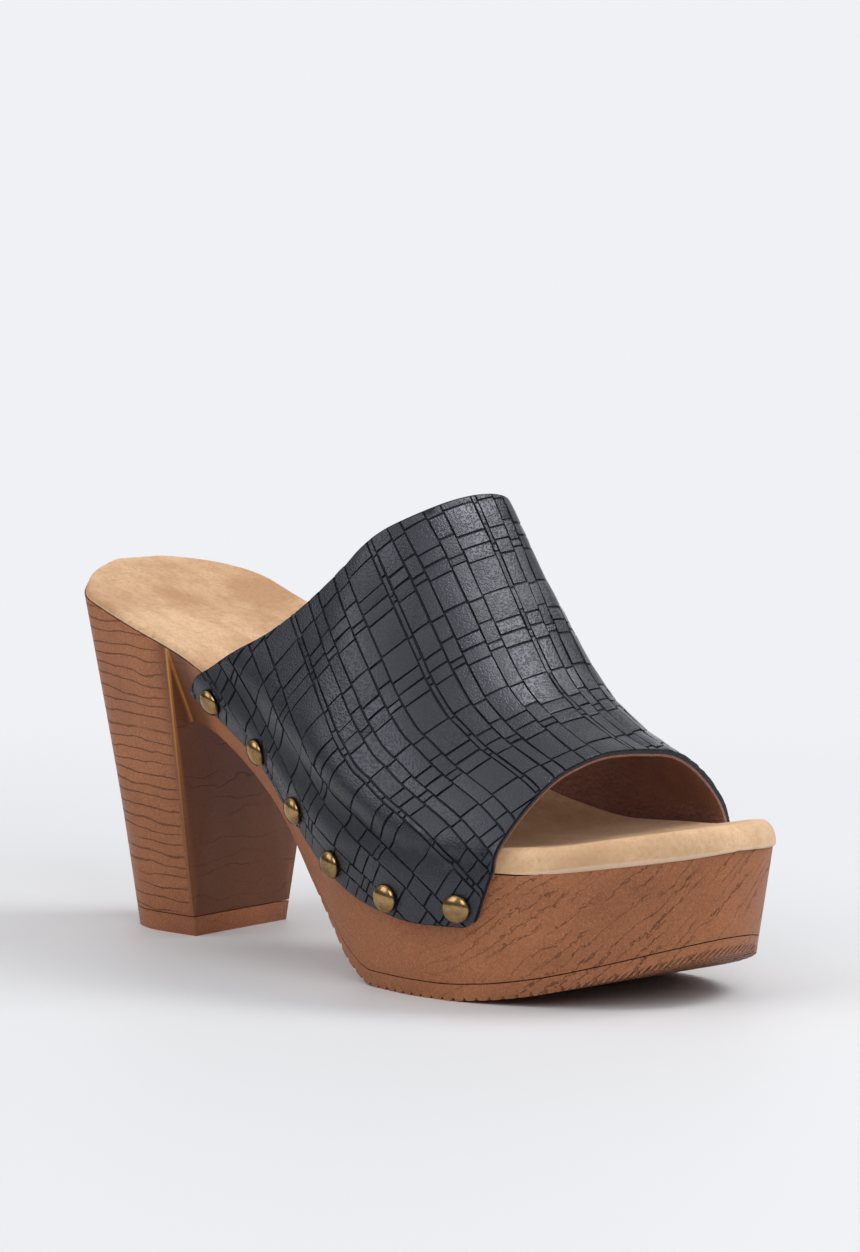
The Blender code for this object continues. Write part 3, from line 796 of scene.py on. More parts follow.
for along, groove in outsole_marks:
    thick = outsole_thickness(along)
    seat = 1 - thick / (edge_z(along) - under_z(along))
    depth = RIB_DEPTH + (RIB_DEPTH_AT_TOE - RIB_DEPTH) * ease(along, 0.8, 0.95)
    cut = min(groove * depth, thick / 2)
    upper_row = [wall_point(along, side, seat) for side in (-1, 1)]
    floor_row = [wall_point(along, side, 1.0) + (0, 0, cut) for side in (1, -1)]
    middle_row = [wall_point(along, side, (1 + seat) / 2) for side in (1, -1)]
    steps = np.array((0, 0.04, 0.1, 0.35, 0.65, 0.9, 0.96, 1))
    outsole_rings.append(np.concatenate([
        mix(*upper_row, steps), middle_row[:1], mix(*floor_row, steps), middle_row[1:]]))
outsole_mesh = lofted("ribbed_outsole", outsole_rings, back_cap=True)
outsole_mesh.shade_smooth()
outsole_mesh.set_sharp_from_angle(angle=math.radians(30))
spots = spots_of(outsole_mesh)
places = stations(OUTSOLE_SHARE, 1, 90)
foot = np.concatenate([wall_point(places, -1, 1.0), wall_point(places, 1, 1.0)[-2::-1]])
above = spots[:, 2] - under_z(np.clip(spots[:, 0] / LENGTH, 0, 1))
mark(outsole_mesh, "around", from_path(spots, foot)[1])
mark(outsole_mesh, "above", above)
ribbed_outsole = new_piece("ribbed_outsole", outsole_mesh, tread_rubber)
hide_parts("outsole")

# Covered insole
# Cork board and foam under a sueded tan cover, thin behind and padded in front, where the
# cover rolls over the unit's edge and shows a pale, slightly frayed line at the joint.
INSOLE_HEEL = 2.2 * MM
INSOLE_TOE = 7.0 * MM
ROLL_HANG = 0.9 * MM
INSOLE_INSET = 0.4 * MM
TOE_OVERHANG = 0.7 * MM
PADDING_SHARES = (0.68, 0.85)
OVERHANG_SHARES = (0.84, 0.92)
SOFT_HOLLOWS = (
    # along, across, length, width, depth
    (0.13, 0.05, 0.10, 0.60, 0.50),
    (0.76, 0.05, 0.07, 0.60, 0.90),
    (0.90, -0.55, 0.04, 0.25, 0.25),
    (0.93, 0.25, 0.05, 0.35, 0.35),
)
HOLLOW = 1.0 * MM
HOLLOW_FROM = (1 * MM, 4 * MM)
RIM_FADE = 6 * MM
COVER_RELIEF, BRUSHED_RELIEF, NAP_RELIEF = 0.12 * MM, 0.22 * MM, 0.08 * MM


def insole_section(along):
    """Section of the insole: flat below, rolled over at both edges, dished on top."""
    reach = (TOE_OVERHANG + INSOLE_INSET) * ease(along, *OVERHANG_SHARES) - INSOLE_INSET
    ends = []
    for side in (-1, 1):
        at = skewed(along, side)
        ends.append(edge_point(at, side) - inward(at, side) * reach)
    thick = INSOLE_HEEL + (INSOLE_TOE - INSOLE_HEEL) * ease(along, *PADDING_SHARES)
    width = np.linalg.norm(ends[1] - ends[0])
    roll = min(thick / width, 0.45) if width > GAP else 0.0
    from_end = np.clip(min(along, 1 - along) * LENGTH / thick, 0, 1)
    thick *= math.sqrt(from_end * (2 - from_end))
    over = ease(along, *OVERHANG_SHARES)
    turn = np.radians(np.linspace(-1 - 34 * over, 90, 16))
    edge = np.stack([1 - 2 * roll * (1 - np.cos(turn)), np.sin(turn)], axis=1)
    edge[:, 1] = np.where(turn < 0, -over * ROLL_HANG / INSOLE_TOE * turn / turn[0], edge[:, 1])
    flat = np.linspace(edge[-1, 0], -edge[-1, 0], 26)[1:-1]
    skin = np.concatenate([
        np.stack([np.linspace(-1, 1, ACROSS + 1), np.zeros(ACROSS + 1)], axis=1), edge,
        np.stack([flat, np.ones(len(flat))], axis=1), edge[::-1] * (-1, 1),
    ])
    sunk = np.zeros(len(skin))
    for at, across, length, wide, depth in SOFT_HOLLOWS:
        near = ((along - at) / length) ** 2 + ((skin[:, 0] - across) / wide) ** 2
        sunk += HOLLOW * depth * np.exp(-near) * (skin[:, 1] > 0.98)
    points = dished(*ends, skin[:, 0])
    points[:, 2] += GAP + thick * skin[:, 1] - sunk * ease(thick, *HOLLOW_FROM)
    return points


insole_places = np.concatenate([
    stations(0, BREAST_SHARE, HEEL_RINGS)[:-1], shank_stations(), stations(0.995, 1, 6)[1:-1]])
insole_rings = [insole_section(s) for s in np.sort(insole_places)]
insole_mesh = lofted("covered_insole", insole_rings)
insole_mesh.shade_smooth()
spots = spots_of(insole_mesh)
rim = np.full(len(spots), 1e9)
lift = np.zeros(len(spots))
for side in (-1, 1):
    places = stations(0, 1, 160)
    path = edge_point(places, side)
    found = from_path(spots, path)[0]
    lift = np.where(found < rim, spots[:, 2] - edge_z(np.clip(spots[:, 0] / LENGTH, 0, 1)), lift)
    rim = np.minimum(rim, found)
mark(insole_mesh, "rim", np.clip(rim / RIM_FADE, 0, 1))
mark(insole_mesh, "lift", np.clip(lift / RIM_FADE, 0, 1))

SUEDE_TAN = tint(194, 150, 110)
SUEDE_PALE = tint(230, 192, 152)
SUEDE_TOE_LIT = tint(246, 212, 172)
SUEDE_SMEAR = tint(186, 140, 100)
SUEDE_BRUSHED = tint(176, 128, 86)
SUEDE_NAP = tint(160, 110, 74)
SUEDE_SPECK = tint(150, 98, 64)
SUEDE_FRAYED = tint(232, 208, 184)
TOE_LIT_ZONE = (20 * MM, 60 * MM)
sueded_cover, tree, shader = new_finish("sueded_cover", {
    "Specular IOR Level": 0.25, "Sheen Weight": 0.12, "Sheen Roughness": 0.4})
place = place_of(tree)
cloud = noise_of(place, 30.0, 5.0, 0.65)
smear = noise_of(place_of(tree, (0.5, 1.6, 1)), 70.0, 3.0, 0.6)
nap = noise_of(place, 2300.0, 3.0, 0.7)
colour = blend_of(between(cloud, 0.38, 0.60), SUEDE_TAN, SUEDE_PALE)
colour = blend_of(between(smear, 0.46, 0.72, 0.0, 0.5), colour, SUEDE_SMEAR)
colour = blend_of(between(nap, 0.5, 0.75, 0.0, 0.3), colour, SUEDE_NAP)
brushed = noise_of(place, 700.0, 4.0, 0.7)
colour = blend_of(between(brushed, 0.46, 0.66, 0.0, 0.4), colour, SUEDE_BRUSHED)
specks = noise_of(place, 520.0, 3.0, 0.75)
colour = blend_of(between(specks, 0.60, 0.70, 0.0, 0.35), colour, SUEDE_SPECK)
# Painted light: the cover is painted lighter towards the toe, where light falls on its top.
ahead = add(tree, "ShaderNodeSeparateXYZ", {"Vector": place}).outputs["X"]
toe = between(ahead, *TOE_LIT_ZONE, soft=True)
colour = blend_of(times(toe, 0.22), colour, SUEDE_TOE_LIT)
lift = marked(tree, "lift")
rim = marked(tree, "rim")
ragged = noise_of(place, 900.0, 3.0, 0.7)
frayed = between(times_plus(ragged, -0.10, lift), 0.04, 0.10, 1.0, 0.0)
frayed = times(frayed, between(rim, 0.3, 0.4, 1.0, 0.0))
colour = blend_of(times(frayed, 0.5), colour, SUEDE_FRAYED)
tree.links.new(colour, shader.inputs["Base Color"])
tree.links.new(between(cloud, 0.3, 0.7, 0.62, 0.8), shader.inputs["Roughness"])
soft = relief(shader, noise_of(place, 240.0, 4.0), COVER_RELIEF)
soft = relief(shader, brushed, BRUSHED_RELIEF, soft)
relief(shader, nap, NAP_RELIEF, soft)
covered_insole = new_piece("covered_insole", insole_mesh, sueded_cover)
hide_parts("insole")

# Hide upper
# One black cowhide stamped with a plaid of crossing lines while flat, cut out, lasted over
# the instep and nailed to the unit's edge. Its net is laid flat here to stamp it the same way.
LEATHER = 2.0 * MM
GRAIN_LAYER = 1.3 * MM
CREST_RISE = 97.8 * MM
MARGIN = 17 * MM
THROAT_CROWN_SHARE = 0.594
THROAT_BASE_SHARE = 0.322
THROAT_CURVE = 2.6
OPENING_OUTER_SHARE = 0.827
OPENING_INNER_SHARE = 0.857
REAR_SWEEP = 9 * MM
FRONT_SWEEP = 5 * MM
CORNER_ROUND = 3 * MM

# Upper in section: crown above the unit's edge as a share of CREST_RISE, its middle as
# a share of BALL_WIDTH, how square its two shoulders are, and how pinched its flanks
CROWN = (
    # along, rise, middle, outer_square, inner_square, pinch
    (0.28, 0.935, 0.230, 2.08, 2.67, 0.30),
    (0.42, 0.935, 0.200, 2.06, 2.69, 0.25),
    (0.53, 1.000, 0.165, 2.04, 2.71, 0.20),
    (0.60, 0.835, 0.143, 2.03, 2.72, 0.17),
    (0.65, 0.675, 0.132, 2.02, 2.73, 0.15),
    (0.75, 0.400, 0.112, 2.00, 2.75, 0.11),
    (0.88, 0.255, 0.100, 1.98, 2.76, 0.08),
)

# Depth of the nailed margin below the unit's edge, as a share of MARGIN
MARGIN_DEPTH = (
    # along, depth
    (0.28, 0.610),
    (0.38, 0.590),
    (0.43, 0.650),
    (0.50, 0.800),
    (0.57, 0.930),
    (0.64, 1.000),
    (0.72, 0.970),
    (0.78, 0.890),
    (0.83, 0.820),
)

# Soft creases of the worn-in hide, by the two ends of each: share from throat to opening
# and girth. Width and lift are shares of CREASE_WIDTH and CREASE_LIFT.
HIDE_RUN = 90 * MM
HIDE_REACH = 110 * MM
CREASE_WIDTH = 7 * MM
CREASE_LIFT = 1 * MM
CREASES = (
    # back, back_girth, front, front_girth, width, lift
    (-0.25, -0.975, 0.60, -0.965, 0.70, -1.50),
    (0.35, -0.965, 1.15, -0.965, 0.62, -1.50),
    (-0.10, -0.905, 0.50, -0.900, 0.95, 1.10),
    (0.30, -0.900, 1.00, -0.860, 0.95, 1.50),
    (0.04, -0.600, 0.60, -0.500, 1.50, -0.90),
    (0.45, -0.380, 1.05, -0.220, 1.40, -0.90),
    (0.60, 0.020, 1.10, 0.120, 1.30, -0.50),
    (-0.20, 0.950, 0.90, 0.930, 0.70, -1.40),
    (0.00, 0.800, 0.80, 0.760, 1.20, 0.80),
)


def stand_off(along):
    """Level distance from the unit's leaning wall to the upper's outer skin."""
    slope = wall_lean(along) / (edge_z(along) - under_z(along))
    return (GAP + LEATHER) * np.sqrt(1 + slope * slope)


def margin_depth(along):
    return smooth(MARGIN_DEPTH, 1, along) * MARGIN


def margin_point(along, side, depth):
    """Outer skin of the nailed margin, at a depth below the unit's edge."""
    down = depth / (edge_z(along) - under_z(along))
    off = np.asarray(stand_off(along))[..., None]
    return wall_point(along, side, down) - inward(along, side) * off


def corner_cut(down):
    """How far the margin's rounded corner draws its end back, near the lower edge."""
    t = np.clip(1 - (1 - down) * MARGIN / CORNER_ROUND, 0, 1)
    return CORNER_ROUND * (1 - np.sqrt(1 - t * t))


def hide_place(share, girth):
    """Along, side and depth of a place on the hide. The share runs from the throat, 0,
    to the toe opening, 1. Girth is -1 and 1 at the unit's edge lines, and -2 and 2 at
    the margins' lower edges."""
    down = np.clip(np.abs(girth) - 1, 0, None)
    over = np.clip(girth, -1, 1)
    reach = THROAT_BASE_SHARE - THROAT_CROWN_SHARE
    start = THROAT_CROWN_SHARE + reach * np.abs(over) ** THROAT_CURVE
    end = OPENING_OUTER_SHARE + (OPENING_INNER_SHARE - OPENING_OUTER_SHARE) * (over + 1) / 2
    start = start + (corner_cut(down) - REAR_SWEEP * down) / LENGTH
    end = end - (corner_cut(down) + FRONT_SWEEP * down) / LENGTH
    return start + (end - start) * share, np.where(girth < 0, -1, 1), down


def smooth_skin(share, girth):
    """The hide's outer skin before it creased."""
    along, side, down = hide_place(share, girth)
    over = np.clip(girth, -1, 1)
    turn = np.abs(over) * math.pi / 2
    square = np.where(side < 0, smooth(CROWN, 3, along), smooth(CROWN, 4, along))
    out = np.sin(turn) ** (2 / square) * (1 - smooth(CROWN, 5, along) * np.sin(2 * turn) ** 2)
    up = np.clip(np.cos(turn), 0, None) ** (2 / square)
    middle = point(along * LENGTH, smooth(CROWN, 2, along) * BALL_WIDTH, 0.0)
    base = margin_point(along, side, 0.0 * along)
    arch = mix(middle, base, out)
    arch[..., 2] = edge_z(along) + smooth(CROWN, 1, along) * CREST_RISE * up
    flap = margin_point(along, side, margin_depth(along) * down)
    return np.where((down > 0)[..., None], flap, arch)


def skin_square(share, girth):
    """Unit vector out of the smooth skin."""
    step = 0.004
    ahead = smooth_skin(share + step, girth) - smooth_skin(share - step, girth)
    over = smooth_skin(share, girth + step) - smooth_skin(share, girth - step)
    square = np.cross(ahead, over)
    return square / np.linalg.norm(square, axis=-1, keepdims=True)


def crease_lift(share, girth):
    """How far the soft creases raise or sink the skin."""
    total = np.zeros(np.shape(share))
    down = np.clip(np.abs(girth) - 1, 0, None)
    across = np.clip(girth, -1, 1) * HIDE_REACH + np.sign(girth) * down * MARGIN
    spots = np.stack([share * HIDE_RUN, across], axis=-1)
    for back, back_girth, front, front_girth, width, lift in CREASES:
        start = np.array((back * HIDE_RUN, back_girth * HIDE_REACH))
        line = np.array((front * HIDE_RUN, front_girth * HIDE_REACH)) - start
        t = np.clip((spots - start) @ line / (line @ line), 0, 1)
        away = np.linalg.norm(spots - start - t[..., None] * line, axis=-1)
        fade = np.sin(math.pi * np.clip(t, 0.05, 0.95)) ** 0.6
        total += lift * CREASE_LIFT * fade * np.exp(-(away / (width * CREASE_WIDTH)) ** 2)
    return total


def hide_skin(share, girth, height=0.0):
    """A point at a height above the creased skin, below it where the height is negative."""
    share, girth = np.broadcast_arrays(np.asarray(share, float), np.asarray(girth, float))
    lift = crease_lift(share, girth) + height
    return smooth_skin(share, girth) + skin_square(share, girth) * lift[..., None]


# The hide's net, which runs a little past each of the hide's edges
NET_COLUMNS = 31
NET_ROWS = 49
MARGIN_ROWS = 5
SETTLING_STEPS = 1500
SETTLING_PULL = 1.6
NET_PAST = 0.04
FLAP_PAST = 0.12
FIRST_SLOPE = math.radians(40)
net_shares = np.linspace(-NET_PAST, 1 + NET_PAST, NET_COLUMNS)
flap_rows = np.linspace(2 + FLAP_PAST, 1, MARGIN_ROWS + 1)[:-1]
net_girths = np.concatenate([-flap_rows, np.linspace(-1, 1, NET_ROWS), flap_rows[::-1]])
net = smooth_skin(*np.meshgrid(net_shares, net_girths))


def laid_flat(net):
    """The net on a table: its points move until the lengths between them are right."""
    rows, columns = net.shape[:2]
    number = np.arange(rows * columns).reshape(rows, columns)
    ties = []
    for step in (1, 2):
        ties += [
            (number[:-step], number[step:]),
            (number[:, :-step], number[:, step:]),
            (number[:-step, :-step], number[step:, step:]),
            (number[:-step, step:], number[step:, :-step]),
        ]
    a = np.concatenate([first.ravel() for first, second in ties])
    b = np.concatenate([second.ravel() for first, second in ties])
    flat_points = net.reshape(-1, 3)
    lengths = np.linalg.norm(flat_points[a] - flat_points[b], axis=1)
    girth_run = np.zeros((rows, columns))
    girth_run[1:] = np.cumsum(np.linalg.norm(np.diff(net, axis=0), axis=2), axis=0)
    girth_run -= girth_run[rows // 2]
    run = net[..., 0] * math.cos(FIRST_SLOPE) - net[..., 2] * math.sin(FIRST_SLOPE)
    plan = np.stack([run, girth_run], axis=-1).reshape(-1, 2)
    count = np.bincount(a, minlength=len(plan)) + np.bincount(b, minlength=len(plan))
    for _ in range(SETTLING_STEPS):
        tie = plan[b] - plan[a]
        length = np.maximum(np.linalg.norm(tie, axis=1), 1e-9)
        pull = tie * ((length - lengths) / length / 2)[:, None]
        move = [np.bincount(a, pull[:, k], len(plan)) - np.bincount(b, pull[:, k], len(plan))
                for k in (0, 1)]
        plan += SETTLING_PULL * np.stack(move, axis=1) / count[:, None]
    plan = plan.reshape(rows, columns, 2)
    middle = rows // 2
    inside = (columns - 1) * NET_PAST / (1 + 2 * NET_PAST)
    start = plan[middle, 0] + (plan[middle, 1] - plan[middle, 0]) * inside
    level = plan[middle, -1] - start
    turn = -math.atan2(level[1], level[0])
    cos, sin = math.cos(turn), math.sin(turn)
    return (plan - start) @ np.array(((cos, sin), (-sin, cos)))


plan = laid_flat(net)
plan_quads = [
    (i * NET_COLUMNS + j, i * NET_COLUMNS + j + 1,
     (i + 1) * NET_COLUMNS + j + 1, (i + 1) * NET_COLUMNS + j)
    for i in range(len(net_girths) - 1) for j in range(NET_COLUMNS - 1)
]
plan_triangles = [t for a, b, c, d in plan_quads for t in ((a, b, c), (a, c, d))]
plan_spots = [Vector((p, q, 0)) for p, q in plan.reshape(-1, 2)]
plan_tree = BVHTree.FromPolygons(plan_spots, plan_triangles)
net_coords = np.stack(np.meshgrid(net_shares, net_girths), axis=-1).reshape(-1, 2)


def lasted(flat):
    """Share and girth of places on the flat hide, once it is on the last."""
    found = []
    for p, q in flat:
        spot, _, index, _ = plan_tree.find_nearest(Vector((p, q, 0)))
        a, b, c = plan_triangles[index]
        pa, pb, pc = (plan_spots[k].to_2d() for k in (a, b, c))
        u, v, w = pb - pa, pc - pa, spot.to_2d() - pa
        area = u.x * v.y - u.y * v.x
        s = (w.x * v.y - w.y * v.x) / area
        t = (u.x * w.y - u.y * w.x) / area
        found.append(net_coords[a] * (1 - s - t) + net_coords[b] * s + net_coords[c] * t)
    return np.array(found)


# The stamped plaid. Each repeat has six strips, and a strip's blocks are cut in one of
# two ways. Sizes are shares of the repeat's length along the foot and its depth across.
REPEAT_LENGTH = 26 * MM
REPEAT_DEPTH = 32 * MM
FIRST_CROSSING = 16.1 * MM
CROSS_LEAN = 0.17
GROOVE = 0.28 * MM
GROOVE_SLOPE = 0.17 * MM
GROOVE_DEPTH = 0.36 * MM
GROOVE_CLOSED = 0.1 * MM
PUFF = 0.16 * MM
TILT = 0.26 * MM
FACE_SIZE = 2.1 * MM
UNEVENNESS = 0.09 * MM
EDGE_KEPT = 0.35 * MM
FLAT_REACH = 125 * MM
FLAT_RUN = (-30 * MM, 130 * MM)
OUTER_FLANK = (15 * MM, 40 * MM)
INNER_FLANK = (0 * MM, 40 * MM)
HIDE_LENGTH = 110 * MM
LONG_CUTS = (-0.079, 0.079, 0.448, 0.775)
SHORT_CUTS = (-0.040, 0.040, 0.471, 0.725)
STRIPS = (
    # start, cuts
    (0.000, SHORT_CUTS),
    (0.050, LONG_CUTS),
    (0.343, SHORT_CUTS),
    (0.493, LONG_CUTS),
    (0.706, SHORT_CUTS),
    (0.828, LONG_CUTS),
)

# Where each repeat's first line lies across the hide, as a share of REPEAT_DEPTH
REPEAT_AT = (
    # repeat, across
    (-3.0, 2.950),
    (-2.0, 1.950),
    (-1.0, 0.940),
    (0.0, -0.056),
    (1.0, -1.120),
    (2.0, -2.040),
    (3.0, -3.100),
    (4.0, -4.100),
)

# How far the lines bend as the hide is drawn forward, as shares of REPEAT_DEPTH
DRAWN = (
    # along, crown, flank
    (0.00, -0.050, 0.030),
    (0.06, -0.035, 0.020),
    (0.18, 0.000, 0.000),
    (0.35, 0.022, -0.025),
    (0.44, 0.032, -0.042),
    (0.53, 0.050, -0.028),
    (0.59, 0.080, 0.025),
    (0.65, 0.110, 0.070),
    (0.73, 0.150, 0.150),
    (0.81, 0.190, 0.220),
    (0.91, 0.230, 0.262),
    (1.05, 0.260, 0.290),
)


def stamped(crossing, repeat):
    """Where a place of the stamp falls on the flat hide."""
    across = smooth(REPEAT_AT, 1, repeat) * REPEAT_DEPTH
    along = FIRST_CROSSING + crossing * REPEAT_LENGTH - CROSS_LEAN * across
    share = along / HIDE_LENGTH
    outer = ease(-across, *OUTER_FLANK)
    inner = ease(across, *INNER_FLANK)
    crown = smooth(DRAWN, 1, share) * (1 - outer - inner)
    flank = smooth(DRAWN, 2, share) * (outer - inner)
    return np.stack([along, across + (crown + flank) * REPEAT_DEPTH], axis=-1)


def steps_within(first, last):
    """Even steps across a block's face, and one more at each end for its slope."""
    face = first + GROOVE_SLOPE, last - GROOVE_SLOPE
    count = max(int(round((face[1] - face[0]) / FACE_SIZE)), 1)
    return np.concatenate([[first], np.linspace(*face, count + 1), [last]])


def block_grid(low, high, near, far, loose, tilt):
    """One block on the flat hide, from crossing low to high and from repeat near to far.
    Its points have a height each: a puffed and tilted face, and slopes into the grooves."""
    wide = (high - low) * REPEAT_LENGTH
    tall = abs(smooth(REPEAT_AT, 1, far) - smooth(REPEAT_AT, 1, near)) * REPEAT_DEPTH
    inset = GROOVE / 2 + loose
    xs = steps_within(inset[0], wide - inset[1])
    ys = steps_within(inset[2], tall - inset[3])
    gx, gy = np.meshgrid(xs / wide, ys / tall)
    ring = np.ones(gx.shape, bool)
    ring[1:-1, 1:-1] = False
    puffed = PUFF * np.sin(math.pi * gx) * np.sin(math.pi * gy)
    puffed += tilt[0] * (gx - 0.5) + tilt[1] * (gy - 0.5)
    height = np.where(ring, -GROOVE_DEPTH - GROOVE_CLOSED, puffed)
    flat = stamped(low + gx.ravel() * (high - low), near + gy.ravel() * (far - near))
    return np.column_stack([flat, height.ravel()]), gx.shape


random = np.random.default_rng(11)
block_points, block_sizes, block_tones = [], [], []
for repeat in range(-3, 4):
    for number, (start, cuts) in enumerate(STRIPS):
        end = STRIPS[number + 1][0] if number + 1 < len(STRIPS) else 1.0
        edges = np.sort(np.concatenate([np.array(cuts) + k for k in range(-4, 6)]))
        for low, high in zip(edges, edges[1:]):
            loose = random.uniform(-1, 1, 4) * UNEVENNESS
            tone = random.uniform(0, 1)
            tilt = random.uniform(-1, 1, 2) * TILT
            along, across = stamped((low + high) / 2, repeat + (start + end) / 2)
            if FLAT_RUN[0] < along < FLAT_RUN[1] and abs(across) < FLAT_REACH:
                points, size = block_grid(low, high, repeat + start, repeat + end, loose, tilt)
                block_points.append(points)
                block_sizes.append(size)
                block_tones.append(tone)
flat_all = np.concatenate(block_points)
coords = lasted(flat_all[:, :2])
keep = EDGE_KEPT / HIDE_RUN
outside = ((coords[:, 0] < keep) | (coords[:, 0] > 1 - keep)
           | (np.abs(coords[:, 1]) > 2 - EDGE_KEPT / MARGIN))
coords[:, 0] = np.clip(coords[:, 0], keep, 1 - keep)
coords[:, 1] = np.clip(coords[:, 1], -2 + EDGE_KEPT / MARGIN, 2 - EDGE_KEPT / MARGIN)
placed = hide_skin(coords[:, 0], coords[:, 1], flat_all[:, 2])
shape = bmesh.new()
tone_layer = shape.verts.layers.float.new("tone")
fold_layer = shape.verts.layers.float.new("fold")
# Depth of each point in a crease's trough. The finish darkens these points with painted shade and
# makes them duller.
folds = np.clip(-crease_lift(coords[:, 0], coords[:, 1]) / CREASE_LIFT, 0, 1)
under_side = hide_skin(coords[:, 0], coords[:, 1], -GROOVE_DEPTH - 2 * GROOVE_CLOSED)
first = 0
for (rows, columns), tone in zip(block_sizes, block_tones):
    number = np.arange(first, first + rows * columns).reshape(rows, columns)
    first += rows * columns
    if outside[number].all():
        continue
    sheets = [{k: shape.verts.new(layer[k]) for k in number.ravel()}
              for layer in (placed, under_side)]
    loops = [(number[i, j], number[i, j + 1], number[i + 1, j + 1], number[i + 1, j])
             for i in range(rows - 1) for j in range(columns - 1)]
    loops = [loop for loop in loops if not outside[list(loop)].all()]
    sides = {(a, b) for loop in loops for a, b in zip(loop, loop[1:] + loop[:1])}
    for loop in loops:
        shape.faces.new([sheets[0][k] for k in loop])
        shape.faces.new([sheets[1][k] for k in reversed(loop)])
    for a, b in sides:
        if (b, a) not in sides:
            shape.faces.new((sheets[0][b], sheets[0][a], sheets[1][a], sheets[1][b]))
    for sheet in sheets:
        for k, vert in sheet.items():
            vert[tone_layer] = tone
            vert[fold_layer] = folds[k]
loose_verts = [v for v in shape.verts if not v.link_faces]
bmesh.ops.delete(shape, geom=loose_verts, context="VERTS")
bmesh.ops.dissolve_degenerate(shape, edges=shape.edges, dist=MERGED_WITHIN)
bmesh.ops.recalc_face_normals(shape, faces=shape.faces)
stamp_mesh = bpy.data.meshes.new("stamped_hide")
shape.to_mesh(stamp_mesh)
shape.free()
stamp_mesh.shade_smooth()
stamp_mesh.set_sharp_from_angle(angle=math.radians(50))


def sheet_of(name, outer, inner, shares, girths, rim_slot):
    """Closed sheet between two depths below the skin, its rim in a finish of its own."""
    grid = np.meshgrid(shares, girths)
    shape = bmesh.new()
    sides = [[[shape.verts.new(spot) for spot in row] for row in hide_skin(*grid, -depth)]
             for depth in (outer, inner)]
    for number, rows in enumerate(sides):
        for near, far in zip(rows, rows[1:]):
            for i in range(len(near) - 1):
                loop = (near[i], near[i + 1], far[i + 1], far[i])
                shape.faces.new(loop if number else loop[::-1])
    loops = [rows[0] + [row[-1] for row in rows[1:-1]] + rows[-1][::-1]
             + [row[0] for row in rows[-2:0:-1]] for rows in sides]
    for i in range(len(loops[0])):
        j = (i + 1) % len(loops[0])
        rim_face = shape.faces.new((loops[0][i], loops[0][j], loops[1][j], loops[1][i]))
        rim_face.material_index = rim_slot
    bmesh.ops.recalc_face_normals(shape, faces=shape.faces)
    mesh = bpy.data.meshes.new(name)
    shape.to_mesh(mesh)
    shape.free()
    mesh.shade_smooth()
    mesh.set_sharp_from_angle(angle=math.radians(55))
    return mesh


girth_steps = np.concatenate([
    np.linspace(-2, -1, 9)[:-1], np.linspace(-1, 1, 161), np.linspace(1, 2, 9)[1:]])
share_steps = np.concatenate([[0, 0.005], np.linspace(0.02, 0.98, 45), [0.995, 1]])
body_mesh = sheet_of("hide_body", GROOVE_DEPTH, GRAIN_LAYER, share_steps, girth_steps, 1)

HIDE_BLACK = tint(7, 7, 10)
HIDE_WORN = tint(15, 16, 20)
HIDE_PALE = tint(27, 28, 34)
HIDE_FOLD_SHADE = tint(3, 3, 4)
EDGE_DARK, EDGE_PALE = tint(34, 35, 41), tint(62, 64, 72)
SHEEN_BLUE = (0.80, 0.82, 1.0, 1.0)
WRINKLE, PEBBLE, PORES, FIBRES = 0.07 * MM, 0.10 * MM, 0.05 * MM, 0.08 * MM


def black_hide(name, gloss, dullness, tone_spread=0.0):
    """Pebbled hide. Its blocks differ in tone by the spread, and its folds are dull and darkened
    with painted shade.
    """
    finish, tree, shader = new_finish(name, gloss)
    place = place_of(tree)
    cloud = noise_of(place, 24.0, 4.0, 0.6)
    colour = blend_of(between(cloud, 0.36, 0.64), HIDE_BLACK, HIDE_WORN)
    rough = between(cloud, 0.3, 0.7, dullness - 0.06, dullness + 0.06)
    if tone_spread:
        tone = marked(tree, "tone")
        fold = marked(tree, "fold")
        colour = blend_of(between(tone, 0, 1, 0, tone_spread), colour, HIDE_PALE)
        # Painted shade in the creases' troughs.
        colour = blend_of(between(fold, 0, 1, 0, 0.8), colour, HIDE_FOLD_SHADE)
        rough = plus(rough, between(fold, 0.1, 1, 0, 0.25))
        rough = plus(rough, between(tone, 0, 1, 0.06, -0.09))
    pebble = add(tree, "ShaderNodeTexVoronoi", {
        "Vector": place, "Scale": 1450.0, "Randomness": 0.9}).outputs["Distance"]
    fine = noise_of(place, 1900.0, 3.0, 0.6)
    wrinkle = noise_of(place_of(tree, (1.5, 0.8, 1.2)), 130.0, 2.0, 0.5)
    tree.links.new(colour, shader.inputs["Base Color"])
    tree.links.new(rough, shader.inputs["Roughness"])
    first = relief(shader, wrinkle, WRINKLE)
    second = relief(shader, between(pebble, 0.1, 0.6), PEBBLE, first)
    relief(shader, fine, PORES, second)
    return finish


stamped_finish = black_hide("stamped_hide", {
    "Specular IOR Level": 0.65, "Specular Tint": SHEEN_BLUE, "Coat Weight": 0.32,
    "Coat Roughness": 0.40}, 0.37, 0.6)
body_finish = black_hide("hide_body", {
    "Specular IOR Level": 0.35, "Specular Tint": SHEEN_BLUE}, 0.55)
cut_edge, tree, shader = new_finish("hide_cut_edge", {
    "Roughness": 0.6, "Specular IOR Level": 0.35})
fibres = noise_of(place_of(tree), 1500.0, 4.0, 0.7)
colour = blend_of(between(fibres, 0.3, 0.7), EDGE_DARK, EDGE_PALE)
tree.links.new(colour, shader.inputs["Base Color"])
relief(shader, fibres, FIBRES)
hide_body = new_piece("hide_body", body_mesh, body_finish, cut_edge)
stamped_hide = new_piece("stamped_hide", stamp_mesh, stamped_finish)
for piece in (hide_body, stamped_hide):
    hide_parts("upper")

